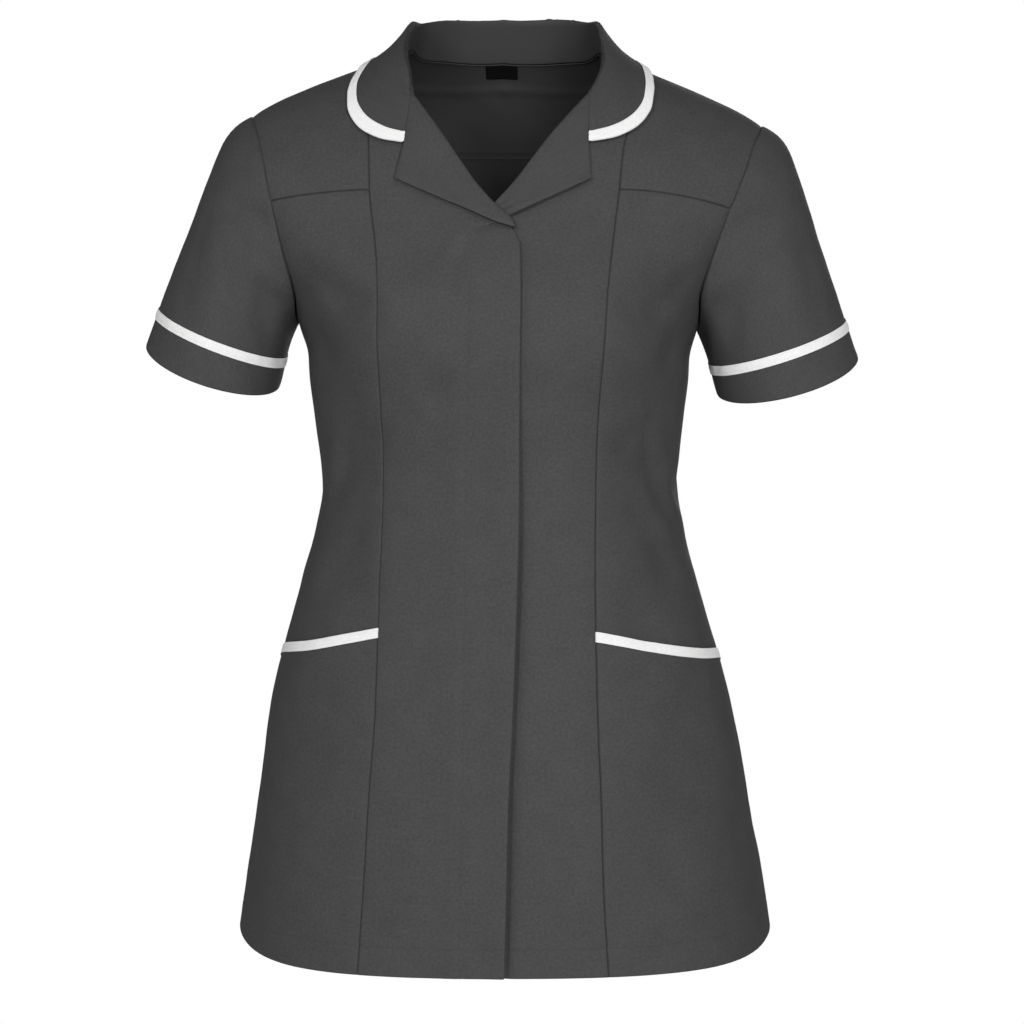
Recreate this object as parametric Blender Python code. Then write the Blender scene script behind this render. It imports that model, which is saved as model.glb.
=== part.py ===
"""Medical tunic: short sleeves, fly front, notched collar, two pockets and white tape.

The tunic is worn by nobody and keeps its filled shape. Every cloth piece is a wall cut along the
seams from one body form; the sleeves, collar and lapels start from the edges of those pieces.
Metres, +Z up, the wearer faces -Y. The origin lies between the two neck points of the shoulders.
"""

import bpy
import numpy as np

# ---- Driving dimensions --------------------------------------------------------------------
LENGTH = 0.7185             # neck point down to the front hem
BACK_LENGTH = 0.716         # neck point down to the hem at the back
SIDE_RISE = 0.0250          # the hem climbs this much at the side seams
SIDE_REACH = 0.085          # and does so within this much of the seam
SHOULDER_WIDTH = 0.410      # sleeve seam to sleeve seam over the shoulders
BUST_WIDTH = 0.311
WAIST_WIDTH = 0.2850
HEM_WIDTH = 0.4235
WAIST_DROP = 0.340          # neck point to waist
UNDERARM_DROP = 0.217       # neck point to underarm
YOKE_DROP = 0.1175          # neck point to the front yoke seam where it meets the long seam
YOKE_SIDE_DROP = 0.1270     # and where it meets the armhole
BACK_YOKE_DROP = 0.072      # neck point to the back yoke seam
NECK_HALF = 0.0752          # half the neck's width at the shoulder seams
NECK_LEAN = 0.0018          # the neck sits a little towards the left
CLOTH = 0.0012              # wall of one layer
COLLAR_CLOTH = 0.0014       # collar and lapels are two layers with interlining
TAPE_CLOTH = 0.0009
TAPE_WIDTH = 0.0074
SEAM = 0.0004               # gap between neighbouring pieces
LAID = 0.0003               # gap between a panel and what lies on it
FLY_LIFT = 0.0021           # the upper front lies this much above the lower one
TILT = -0.0167              # the wearer's left side hangs a little lower

CHARCOAL = (0.078, 0.078, 0.080)
WHITE = (0.72, 0.72, 0.72)
BLACK = (0.012, 0.012, 0.013)

RIGHT, LEFT = -1, 1         # the wearer's sides: the right one is at -X
SIDE_NAMES = {RIGHT: "right", LEFT: "left"}
FRONT, BACK = -1, 1

# ---- The body form: level sections and a sloping shoulder roof -------------------------------
SECTIONS = {
    "height": (-0.76, -0.70, -0.60, -0.50, -0.42, -WAIST_DROP, -0.29, -0.237,
               -0.20, -0.15, -0.10, -0.05, 0.06),
    "half_width": (0.220, HEM_WIDTH / 2, 0.1967, 0.1794, 0.1575, WAIST_WIDTH / 2, 0.1472, BUST_WIDTH / 2,
                   0.165, 0.203, 0.236, 0.262, 0.280),
    "front": (0.153, 0.149, 0.141, 0.131, 0.119, 0.1135, 0.119, 0.126,
              0.122, 0.109, 0.094, 0.080, 0.060),
    "back": (0.147, 0.144, 0.136, 0.125, 0.104, 0.088, 0.091, 0.102,
             0.107, 0.110, 0.108, 0.102, 0.090),
    "lean": (0.003, 0.0018, 0.001, -0.002, -0.0028, -0.0022, -0.003, -0.003,
             -0.0036, -0.003, 0.001, 0.0036, 0.0036),
}
ROUNDNESS = 2.35            # 2 is an ellipse, more is squarer
ROOF = {
    "across": (0.0, 0.05, 0.08, 0.12, 0.16, 0.20, 0.24, 0.30),
    "height": (0.034, 0.021, 0.002, -0.0145, -0.0305, -0.0500, -0.0755, -0.124),
    "tilt": (0.0, 0.0, 0.0003, 0.0009, 0.0019, 0.0019, 0.0004, 0.0),    # the left side hangs lower
}
RIDGE_Y = 0.010             # the shoulder's highest line
SHOULDER_ROUND = 0.079      # radius of the shoulder from front to back
CORNER_ROUND = 0.040
BUST = {"across": 0.082, "height": -0.222, "spread": 0.058, "stand": 0.008}
FOLDS = {                   # soft troughs, and ridges where the height is above 0
    "face":    (-1, -1, -1, -1, -1, -1, -1, -1, 1, 1, 1, 1, 1, 1, 1, 1, 1),
    "start_x": (-0.140, 0.140, -0.143, 0.144, -0.152, 0.149, -0.165, 0.185,
                -0.128, 0.131, -0.110, 0.095, -0.158, 0.155, -0.075, 0.018, 0.112),
    "start_z": (-0.356, -0.352, -0.392, -0.398, -0.236, -0.240, -0.560, -0.610,
                -0.318, -0.326, -0.372, -0.365, -0.235, -0.238, -0.715, -0.715, -0.715),
    "end_x":   (-0.104, 0.098, -0.106, 0.108, -0.112, 0.106, -0.120, 0.125,
                -0.030, 0.022, 0.010, -0.020, -0.095, 0.104, -0.060, 0.010, 0.092),
    "end_z":   (-0.312, -0.316, -0.440, -0.450, -0.206, -0.204, -0.530, -0.560,
                -0.336, -0.345, -0.388, -0.394, -0.170, -0.160, -0.500, -0.545, -0.470),
    "width":   (0.015, 0.016, 0.018, 0.017, 0.014, 0.014, 0.020, 0.022,
                0.014, 0.013, 0.016, 0.014, 0.016, 0.015, 0.024, 0.020, 0.026),
    "height":  (-0.0030, -0.0034, -0.0022, -0.0026, -0.0022, -0.0020, -0.0016, -0.0014,
                -0.0042, -0.0034, -0.0030, -0.0024, -0.0034, -0.0030, 0.0050, 0.0036, 0.0046),
}
FOLD_TURN = 0.030           # a fold fades within this much of the side
SLEEVE_FOLDS = {            # by turn round the sleeve (0 top, pi under) and share of the way down
    "turn": (2.25, 1.30, 4.10, 5.00, 3.50, 0.0, 0.0),
    "width": (0.30, 0.34, 0.30, 0.36, 0.26, 0.75, 0.80),
    "middle": (0.42, 0.62, 0.40, 0.58, 0.70, 0.15, 0.52),
    "spread": (0.26, 0.24, 0.28, 0.22, 0.20, 0.12, 0.20),
    "height": (-0.0040, 0.0022, -0.0038, 0.0020, -0.0024, 0.0050, -0.0024),
}

# ---- Lines on the front: distances from the middle line of the front, by height --------------
FRONT_LINES = {
    "height": (-0.75, -0.647, -0.586, -0.525, -0.433, -0.357, -0.296, -0.243, -0.205, -0.168,
               -0.120, -0.079, -0.044, 0),
    "middle": (-0.0150, -0.0148, -0.0137, -0.0126, -0.0122, -0.0111, -0.0103, -0.0091, -0.0080, -0.0068,
               -0.0066, -0.0048, -0.0020, 0),
    "long_seam": (0.0975, 0.0912, 0.0887, 0.0854, 0.0836, 0.0833, 0.0839, 0.0856, 0.0874, 0.0906, 0.0963,
                  0.0993, 0.1020, 0.1045),
    "fly_edge": (0.0150, 0.0175, 0.0179, 0.0198, 0.0228, 0.0234, 0.0228, 0.0222, 0.0216, 0.0200, 0.0170,
                 0.0170, 0.0170, 0.0170),
}
BACK_SEAM = {               # the back's long seams: distance from the middle, by height
    "height": (-0.75, -0.60, -0.47, -0.36, -0.27, -0.18, -BACK_YOKE_DROP),
    "across": (0.108, 0.098, 0.086, 0.0755, 0.083, 0.0945, 0.100),
}
SHOULDER_SEAM_Y = 0.017
LONG_SEAM_TOP = 0.107       # where the long seam ends under the collar
BREAK = {"across": 0.0163, "height": -0.1536}      # where the lapel starts to turn
ROLL = {                                           # the lapel's turning line
    "height": (BREAK["height"], -0.1422, -0.133, -0.1166, -0.0975, -0.0784, -0.0645, -0.044),
    "across": (-BREAK["across"], -0.0102, 0.0, 0.0148, 0.0285, 0.0417, 0.0523, 0.0685),
}
GORGE_END = {"across": 0.0705, "height": -0.0792}  # the corner of the collar
LAPEL_TIP = {RIGHT: (0.0765, -0.1095), LEFT: (0.0737, -0.1100)}
LEFT_LAPEL_START = 13       # of 60 steps up the turning line: clear of the right front
LEFT_LAPEL_EDGE = ((0.0080, -0.1345), (0.0150, -0.1400), (0.040, -0.1265))
HEM, MOUTH_LOW, MOUTH_TOP, BUST_ROW = 0, 5, 6, 13
CENTRE_COLUMNS, SIDE_COLUMNS = 6, 5                   # quads across the front's pieces
BACK_COLUMNS, BACK_SIDE_COLUMNS = 14, 7               # and across the back's
LONG_SEAM_HEIGHTS = (-0.717, -0.672, -0.622, -0.570, -0.515, -0.4638, -0.4566, -0.410, -0.370, -0.335,
                     -0.300, -0.2725, -0.249, -0.226)
SIDE_SEAM_HEIGHTS = (-0.697, -0.660, -0.615, -0.570, -0.525, -0.4833, -0.4760, -0.420, -0.378, -0.341,
                     -0.305, -0.2740, -0.245, -UNDERARM_DROP)
ARMHOLE = {                 # half of the shoulder width at each height, and roughly how deep it lies
    "front_across": (SHOULDER_WIDTH / 2, 0.2034, 0.1962, 0.1898, 0.1789, 0.1700, 0.1625, 0.1595),
    "front_height": (-0.0520, -0.0570, -0.0730, -0.0935, -0.1295, -0.1640, -0.1940, -0.2110),
    "front_depth": (0.012, -0.018, -0.043, -0.058, -0.067, -0.066, -0.050, -0.024),
    "back_across": (0.1589, 0.1605, 0.1660, 0.1770, 0.1860, 0.1945, 0.2012, 0.2046),
    "back_height": (-0.217, -0.2110, -0.1920, -0.1600, -0.1250, -0.0900, -0.0700, -0.0570),
    "back_depth": (0.002, 0.028, 0.056, 0.074, 0.076, 0.066, 0.054, 0.036),
}

SLEEVE = {                  # by height of the armhole's edge: how the sleeve leaves it
    "height": (-0.2200, -0.1900, -0.1500, -0.1000, -0.0600),
    "follow_form": (0.0, 0.10, 0.45, 0.85, 1.0),
    "out": (0.62, 0.80, 0.90, 0.92, 0.92),
    "down": (-0.78, -0.60, -0.42, -0.38, -0.38),
}
CUFF = {
    "middle": (0.2302, 0.004, -0.2528), "lean": -0.0008, "under_lean": -0.0030,
    "out": (0.0550, 0.0, 0.0160), "front": (0.0, -0.056, -0.019), "back": (0.0, 0.058, 0.012),
    "direction": (0.35, 0.0, -0.93),
}
SLEEVE_START, SLEEVE_END = 0.25, 0.33   # how long the sleeve keeps its first and last direction
CUFF_BAND = {"even": 0.0278, "outside": 0.0030, "front": 0.0075}    # from the hem to the tape's top
CUFF_TAPE = 0.0077
COLLAR_STAND = {            # by the share of the way from the back middle to the lapel
    "way": (0.0, 0.25, 0.45, 0.60, 0.75, 0.88, 1.0),
    "height": (0.0345, 0.0330, 0.0255, 0.0187, 0.0120, 0.0068, 0.0045),
    "tilt": (0.0, 0.0008, 0.0014, 0.0013, 0.0008, 0.0, 0.0),
}
COLLAR_EDGE = {             # the collar's free edge from the back middle to its front corner
    "across": (0.0, 0.050, 0.084, 0.1010, 0.1060, 0.1135, 0.1180, 0.1160, 0.1075, 0.0920,
               GORGE_END["across"]),
    "depth": (0.094, 0.088, 0.066, 0.040, 0.014, -0.020, -0.052, -0.064, -0.075, -0.083, -0.088),
    "height": (-0.014, -0.016, -0.016, -0.014, -0.012, -0.020, -0.0415, -0.0545, -0.0660, -0.0745,
               GORGE_END["height"]),
}
COLLAR_HOLLOW = 0.0030      # the fall bends in this much on its way down
COLLAR_FOLD = 0.0018        # radius of the collar's fold
TURN_HEIGHTS = (0.0038, 0.0041, 0.0040, 0.0036, 0.0031, 0.0027, 0.0024)    # lapel over the front
CURL = ((0.0011, -0.0006), (0.0016, 0.0002), (0.0017, 0.0012), (0.0013, 0.0024), (0.0002, 0.0033))
GORGE_GAP = 0.0008
LABEL = {"from_edge": 0.0012, "length": 0.0136, "gap": 0.0004, "cloth": 0.0006}


# ---- Smooth curves ---------------------------------------------------------------------------
def cubic(keys, values, at):
    """A smooth curve through values at rising keys, read at any key."""
    keys, values = np.asarray(keys, float), np.asarray(values, float)
    slope = np.gradient(values, keys, axis=0)
    at = np.clip(at, keys[0], keys[-1])
    i = np.clip(np.searchsorted(keys, at) - 1, 0, len(keys) - 2)
    width = keys[i + 1] - keys[i]
    t = (at - keys[i]) / width
    if values.ndim > 1:
        t, width = t[..., None], width[..., None]
    return ((1 + 2 * t) * (1 - t) ** 2 * values[i] + t * (1 - t) ** 2 * width * slope[i]
            + t * t * (3 - 2 * t) * values[i + 1] + t * t * (t - 1) * width * slope[i + 1])


def column(table, name, at, key="height"):
    return cubic(table[key], table[name], at)


def way_along(points):
    steps = np.linalg.norm(np.diff(points, axis=0), axis=1)
    return np.concatenate([[0.0], np.cumsum(steps)])


def even(points, count):
    """The smooth curve through the points, in steps of one length."""
    points = np.asarray(points, float)
    way = way_along(points)
    fine = cubic(way, points, np.linspace(0, way[-1], 40 * len(points)))
    way = way_along(fine)
    places = np.linspace(0, way[-1], count + 1)
    return np.stack([np.interp(places, way, fine[:, k]) for k in range(3)], -1)


def parts_of(line, count):
    """A line of straight steps, cut finer without leaving it."""
    cuts = np.linspace(0, len(line) - 1, count + 1)
    return np.stack([np.interp(cuts, np.arange(len(line)), line[:, k]) for k in range(3)], -1)


# ---- The form --------------------------------------------------------------------------------
def smooth_max(a, b, reach):
    blend = np.clip(0.5 + 0.5 * (a - b) / reach, 0, 1)
    return b + (a - b) * blend + reach * blend * (1 - blend)


def form(points):
    """Roughly the distance from the body form: negative inside."""
    x, y, z = np.moveaxis(points, -1, 0)
    shifted = x - column(SECTIONS, "lean", z)
    half = column(SECTIONS, "half_width", z)
    bust = BUST["stand"] * np.exp(-((np.abs(shifted) - BUST["across"]) ** 2
                                    + (z - BUST["height"]) ** 2) / BUST["spread"] ** 2)
    depth = np.where(y < 0, column(SECTIONS, "front", z) + bust, column(SECTIONS, "back", z))
    ring = (np.abs(shifted / half) ** ROUNDNESS + np.abs(y / depth) ** ROUNDNESS) ** (1 / ROUNDNESS)
    trunk = (ring - 1) * 0.12
    tilt = np.sign(x) * column(ROOF, "tilt", np.abs(x), "across")
    roof = ((z - column(ROOF, "height", np.abs(x), "across") + tilt) * 0.93
            + (y - RIDGE_Y) ** 2 / (2 * SHOULDER_ROUND))
    return smooth_max(trunk, roof, CORNER_ROUND) - folds(x, y, z)


def folds(x, y, z):
    total = np.zeros(x.shape)
    columns = ("face", "start_x", "start_z", "end_x", "end_z", "width", "height")
    for face, start_x, start_z, end_x, end_z, width, height in zip(*(FOLDS[name] for name in columns)):
        run_x, run_z = end_x - start_x, end_z - start_z
        share = ((x - start_x) * run_x + (z - start_z) * run_z) / (run_x ** 2 + run_z ** 2)
        nearest = np.clip(share, 0, 1)
        away = (x - start_x - nearest * run_x) ** 2 + (z - start_z - nearest * run_z) ** 2
        turned = np.clip(0.5 + face * y / FOLD_TURN, 0, 1)
        total += height * np.exp(-away / width ** 2) * turned * turned * (3 - 2 * turned)
    return total


def slope_of(points, step=1e-4):
    shifts = np.eye(3) * step
    return np.stack([form(points + s) - form(points - s) for s in shifts], axis=-1) / (2 * step)


def unit(vectors):
    return vectors / np.linalg.norm(vectors, axis=-1, keepdims=True)


def outward(points):
    return unit(slope_of(points))


def snap(points, lift=0.0):
    """Moves points square to the form until they lie on it, or at a lift above it."""
    points = np.asarray(points, float)
    for _ in range(8):
        slope = slope_of(points)
        points = points - form(points)[..., None] * slope / (slope ** 2).sum(-1, keepdims=True)
    return points + outward(points) * np.asarray(lift)[..., None]


def between(outside_end, inside_end):
    """The place on the form between two ends, one outside it and one inside."""
    for _ in range(40):
        middle = (outside_end + inside_end) / 2
        outside = (form(middle) > 0)[..., None]
        outside_end = np.where(outside, middle, outside_end)
        inside_end = np.where(outside, inside_end, middle)
    return inside_end


def seen(x, z, face):
    """The form's place behind (x, z) in the front view, or in the back view."""
    x, z = np.broadcast_arrays(np.asarray(x, float), np.asarray(z, float))
    far, near = np.full(x.shape, face * 0.3), np.full(x.shape, RIDGE_Y)
    return between(np.stack([x, far, z], -1), np.stack([x, near, z], -1))


def from_above(x, y):
    x, y = np.broadcast_arrays(np.asarray(x, float), np.asarray(y, float))
    return between(np.stack([x, y, np.full(x.shape, 0.2)], -1), np.stack([x, y, np.full(x.shape, -0.09)], -1))


def at_side(side, z, y=0.0):
    z = np.asarray(z, float)
    far, near = np.full(z.shape, side * 0.4), np.zeros(z.shape)
    depth = np.full(z.shape, y)
    return between(np.stack([far, depth, z], -1), np.stack([near, depth, z], -1))


def hem_height(y):
    length = np.where(y < 0, LENGTH, BACK_LENGTH)
    return -length + SIDE_RISE * np.exp(-(y / SIDE_REACH) ** 2)


def hem_line(start, end, count, face=FRONT):
    """The hem between two places on it, in even turns about the middle."""
    ends = np.array([np.arctan2(place[1], place[0]) for place in (start, end)])
    ends = np.where(ends * face < -0.5, ends + face * 2 * np.pi, ends)
    angles = np.linspace(*ends, count + 1)
    ray = np.stack([np.cos(angles), np.sin(angles), np.zeros_like(angles)], -1)
    z = np.full(angles.shape, -LENGTH)
    for _ in range(6):
        level = np.stack([0 * z, 0 * z, z], -1)
        places = between(level + ray * 0.4, level)
        z = hem_height(places[:, 1])
    return places


# ---- Seams and edges -------------------------------------------------------------------------
def front_place(side, name, z):
    """A place on the front, at a named distance from the middle line on one side."""
    across = column(FRONT_LINES, name, z) if isinstance(name, str) else name
    return seen(column(FRONT_LINES, "middle", z) + side * across, z, FRONT)


def to_hem(line):
    """Moves a line's first place down the form to the hem."""
    for _ in range(6):
        line[0] = snap(np.array([line[0][0], line[0][1], hem_height(line[0][1])]))
    return line


def long_seam(side):
    """From the hem to the yoke seam, and from there to the shoulder seam."""
    low = np.array(LONG_SEAM_HEIGHTS)
    heights = np.concatenate([low, np.linspace(low[BUST_ROW], -YOKE_DROP, 8)[1:]])
    tilt = TILT * side * 0.09 * np.interp(heights, (-0.6, -0.47, -0.3, -0.12), (0, 1, 0, 0))
    lower = to_hem(front_place(side, "long_seam", heights + tilt))
    top = from_above(side * LONG_SEAM_TOP, SHOULDER_SEAM_Y)
    guides = np.concatenate([front_place(side, "long_seam", np.array([-YOKE_DROP, -0.085])),
                             snap(np.array([[side * 0.1045, -0.045, -0.04]])), [top]])
    return lower, snap(even(guides, 6))


def side_seam(side):
    heights = np.array(SIDE_SEAM_HEIGHTS)
    tilt = TILT * side * 0.10 * np.interp(heights, (-0.6, -0.47, -0.3, -0.22), (0, 1, 0, 0.2))
    return to_hem(at_side(side, heights + tilt))


def back_seam(side, top):
    """From the hem to a place on the back yoke seam."""
    heights = np.array([*SIDE_SEAM_HEIGHTS, *np.linspace(-UNDERARM_DROP, top[2], 10)[1:]])
    across = side * column(BACK_SEAM, "across", heights)
    line = to_hem(seen(across + column(SECTIONS, "lean", heights), heights, BACK))
    line[-1] = top
    return line


def fly_edge(side):
    """The free edge of one front up to the break, then the turning line, then the neck edge."""
    low = np.array(LONG_SEAM_HEIGHTS)
    heights = np.concatenate([low, [-0.190, BREAK["height"]]])
    edge = to_hem(front_place(-side, "fly_edge", heights))
    edge[-1] = front_place(-side, BREAK["across"], BREAK["height"])
    roll_heights = np.linspace(BREAK["height"], ROLL["height"][-1], 30)
    roll = even(front_place(side, column(ROLL, "across", roll_heights), roll_heights), 6)
    return edge, snap(roll), neck_front(side, roll[-1])


def neck_front(side, gorge):
    guides = snap(np.array([gorge, [side * 0.0725 + NECK_LEAN, -0.052, -0.028],
                            [side * 0.0750 + NECK_LEAN, -0.022, -0.010], gorge]))
    guides[-1] = from_above(side * NECK_HALF + NECK_LEAN, SHOULDER_SEAM_Y)
    return snap(even(guides, 5))


def neck_back():
    """From the right neck point round the back to the left one."""
    half = np.array([[NECK_HALF, SHOULDER_SEAM_Y, 0], [0.0690, 0.044, 0.003], [0.046, 0.066, 0.004]])
    guides = np.concatenate([half * (-1, 1, 1), [[0, 0.0765, 0.0045]], half[::-1]])
    guides = snap(guides + (NECK_LEAN, 0, 0))
    guides[0] = from_above(NECK_LEAN - NECK_HALF, SHOULDER_SEAM_Y)
    guides[-1] = from_above(NECK_LEAN + NECK_HALF, SHOULDER_SEAM_Y)
    return snap(even(guides, 16))


def shoulder_seam(side, start, end, count):
    return from_above(side * np.linspace(start, end, count + 1), SHOULDER_SEAM_Y)


def armhole(side):
    """Four stretches: tip to front yoke seam, to the underarm, to back yoke seam, to the tip."""
    across = np.array(ARMHOLE["front_across"] + ARMHOLE["back_across"])
    heights = np.array(ARMHOLE["front_height"] + ARMHOLE["back_height"])
    depth = np.array(ARMHOLE["front_depth"] + ARMHOLE["back_depth"])
    depth[0] = SHOULDER_SEAM_Y
    lean = column(SECTIONS, "lean", heights)
    places = np.stack([side * across + lean, depth, heights + TILT * side * across], -1)
    places = snap(places)
    loop = np.concatenate([places[-3:], places, places[:4]])
    way = way_along(loop)
    fine = snap(cubic(way, loop, np.linspace(way[3], way[3 + len(places)], 600)))
    yoke = np.argmax(fine[:, 2] < -YOKE_SIDE_DROP + TILT * side * 0.179)
    low = np.argmin(fine[:, 2])
    back_yoke = low + np.argmax(fine[low:, 2] > -BACK_YOKE_DROP)
    marks, counts = (0, yoke, low, back_yoke, len(fine) - 1), (6, 7, 9, 5)
    stretches = []
    for a, b, count in zip(marks, marks[1:], counts):
        stretches.append(even(fine[a:b + 1], count))
    return stretches


def front_yoke_seam(side, start, end):
    t = np.linspace(0, 1, 6)
    x = start[0] + (end[0] - start[0]) * t
    z = start[2] + (end[2] - start[2]) * t ** 1.9
    line = seen(x, z, FRONT)
    line[0], line[-1] = start, end
    return line


def back_yoke_seam(start, end, count):
    t = np.linspace(0, 1, count + 1)
    x = start[0] + (end[0] - start[0]) * t
    line = seen(x, start[2] + (end[2] - start[2]) * t, BACK)
    line[0], line[-1] = start, end
    return line


# ---- Cloth panels ----------------------------------------------------------------------------
def patch(bottom, top, start, end):
    """A surface between four lines, as rows from bottom to top. Start and end join their ends."""
    v = np.linspace(0, 1, len(start))[:, None, None]
    u = way_along(bottom) / way_along(bottom)[-1]
    u_top = way_along(top) / way_along(top)[-1]
    u = ((1 - v[..., 0]) * u + v[..., 0] * u_top)[..., None]
    ruled = (1 - v) * bottom[None] + v * top[None]
    across = (1 - u) * start[:, None] + u * end[:, None]
    corners = ((1 - u) * (1 - v) * bottom[0] + u * (1 - v) * bottom[-1]
               + (1 - u) * v * top[0] + u * v * top[-1])
    grid = ruled + across - corners
    grid[1:-1, 1:-1] = snap(grid[1:-1, 1:-1])
    return grid


def draw_in(grid, amount, closed=False):
    """Pulls the border rows and columns in, square to the border."""
    grid = grid.copy()
    turned = np.swapaxes(grid, 0, 1)
    for side_grid in ((grid,) if closed else (grid, turned)):
        for edge, inner in ((0, 1), (-1, -2)):
            run = unit(np.gradient(side_grid[edge], axis=0))
            step = side_grid[inner] - side_grid[edge]
            step = step - (step * run).sum(-1, keepdims=True) * run
            side_grid[edge] += unit(step) * amount
    return grid


def grid_normals(grid, closed=False):
    if closed:
        wrapped = np.concatenate([grid[:, -1:], grid, grid[:, :1]], 1)
        across = np.gradient(wrapped, axis=1)[:, 1:-1]
    else:
        across = np.gradient(grid, axis=1)
    return unit(np.cross(across, np.gradient(grid, axis=0)))


def add_wall(name, outer, inner, colour, roughness=0.85, closed=False):
    """A closed wall between two grids of points. The outer grid's rows and columns face out."""
    rows, columns = outer.shape[:2]
    count = rows * columns
    number = np.arange(count).reshape(rows, columns)
    if closed:
        number = np.concatenate([number, number[:, :1]], 1)
    a, b, c, d = number[:-1, :-1], number[:-1, 1:], number[1:, 1:], number[1:, :-1]
    a, b, c, d = (corner.ravel() for corner in (a, b, c, d))
    faces = [*zip(a, b, c), *zip(a, c, d)]
    faces += [(p + count, r + count, q + count) for p, q, r in faces]
    rims = [number[0, ::-1], number[-1]]
    if not closed:
        rims += [number[:, 0], number[::-1, -1]]
    for rim in rims:
        for p, q in zip(rim, rim[1:]):
            faces += [(p, q, q + count), (p, q + count, p + count)]
    mesh = bpy.data.meshes.new(name)
    mesh.from_pydata(np.concatenate([outer.reshape(-1, 3), inner.reshape(-1, 3)]).tolist(), [],
                     [tuple(int(n) for n in face) for face in faces])
    mesh.materials.append(make_material(name, colour, roughness))
    piece = bpy.data.objects.new(name, mesh)
    bpy.context.collection.objects.link(piece)
    mesh.shade_smooth()
    mesh.set_sharp_from_angle(angle=0.9)
    return piece


def make_material(name, colour, roughness):
    material = bpy.data.materials.new(name)
    material.use_nodes = True
    shader = material.node_tree.nodes["Principled BSDF"]
    shader.inputs["Base Color"].default_value = (*colour, 1)
    shader.inputs["Roughness"].default_value = roughness
    shader.inputs["Metallic"].default_value = 0
    return material


def facing_out(grid, directions):
    """True where the grid's rows and columns already face along the given directions."""
    return (grid_normals(grid) * directions).sum(-1).mean() > 0


def add_panel(name, grid, lift=0.0, cloth=CLOTH, colour=CHARCOAL):
    """A piece of cloth whose outer side lies on the form, or at a lift above it."""
    grid = draw_in(grid, SEAM / 2)
    normals = outward(grid)
    if not facing_out(grid, normals):
        grid, normals = grid[:, ::-1], normals[:, ::-1]
        lift = lift[:, ::-1] if np.ndim(lift) else lift
    outer = grid + normals * np.broadcast_to(lift, grid.shape[:2])[..., None]
    return add_wall(name, outer, outer - normals * cloth, colour)


def add_turned(name, middle, directions, cloth=COLLAR_CLOTH, colour=CHARCOAL):
    """A wall about a middle surface, which faces along the given directions at its outer columns."""
    middle = draw_in(middle, SEAM / 2)
    last = slice(-5, None)
    if (grid_normals(middle)[:, last] * directions[:, last]).sum(-1).mean() < 0:
        middle = middle[::-1]
    normals = grid_normals(middle)
    add_wall(name, middle + normals * cloth / 2, middle - normals * cloth / 2, colour)
    return middle, normals


def clear_scene():
    for item in list(bpy.data.objects):
        bpy.data.objects.remove(item, do_unlink=True)


def fly_lift(grid):
    """The upper front rises towards its free edge, to clear the lower one."""
    middle = column(FRONT_LINES, "middle", grid[..., 2])
    t = np.clip((grid[..., 0] - middle + 0.045) / 0.024, 0, 1)
    return FLY_LIFT * t * t * (3 - 2 * t)


def no_lift(grid):
    return np.zeros(grid.shape[:-1])


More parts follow.
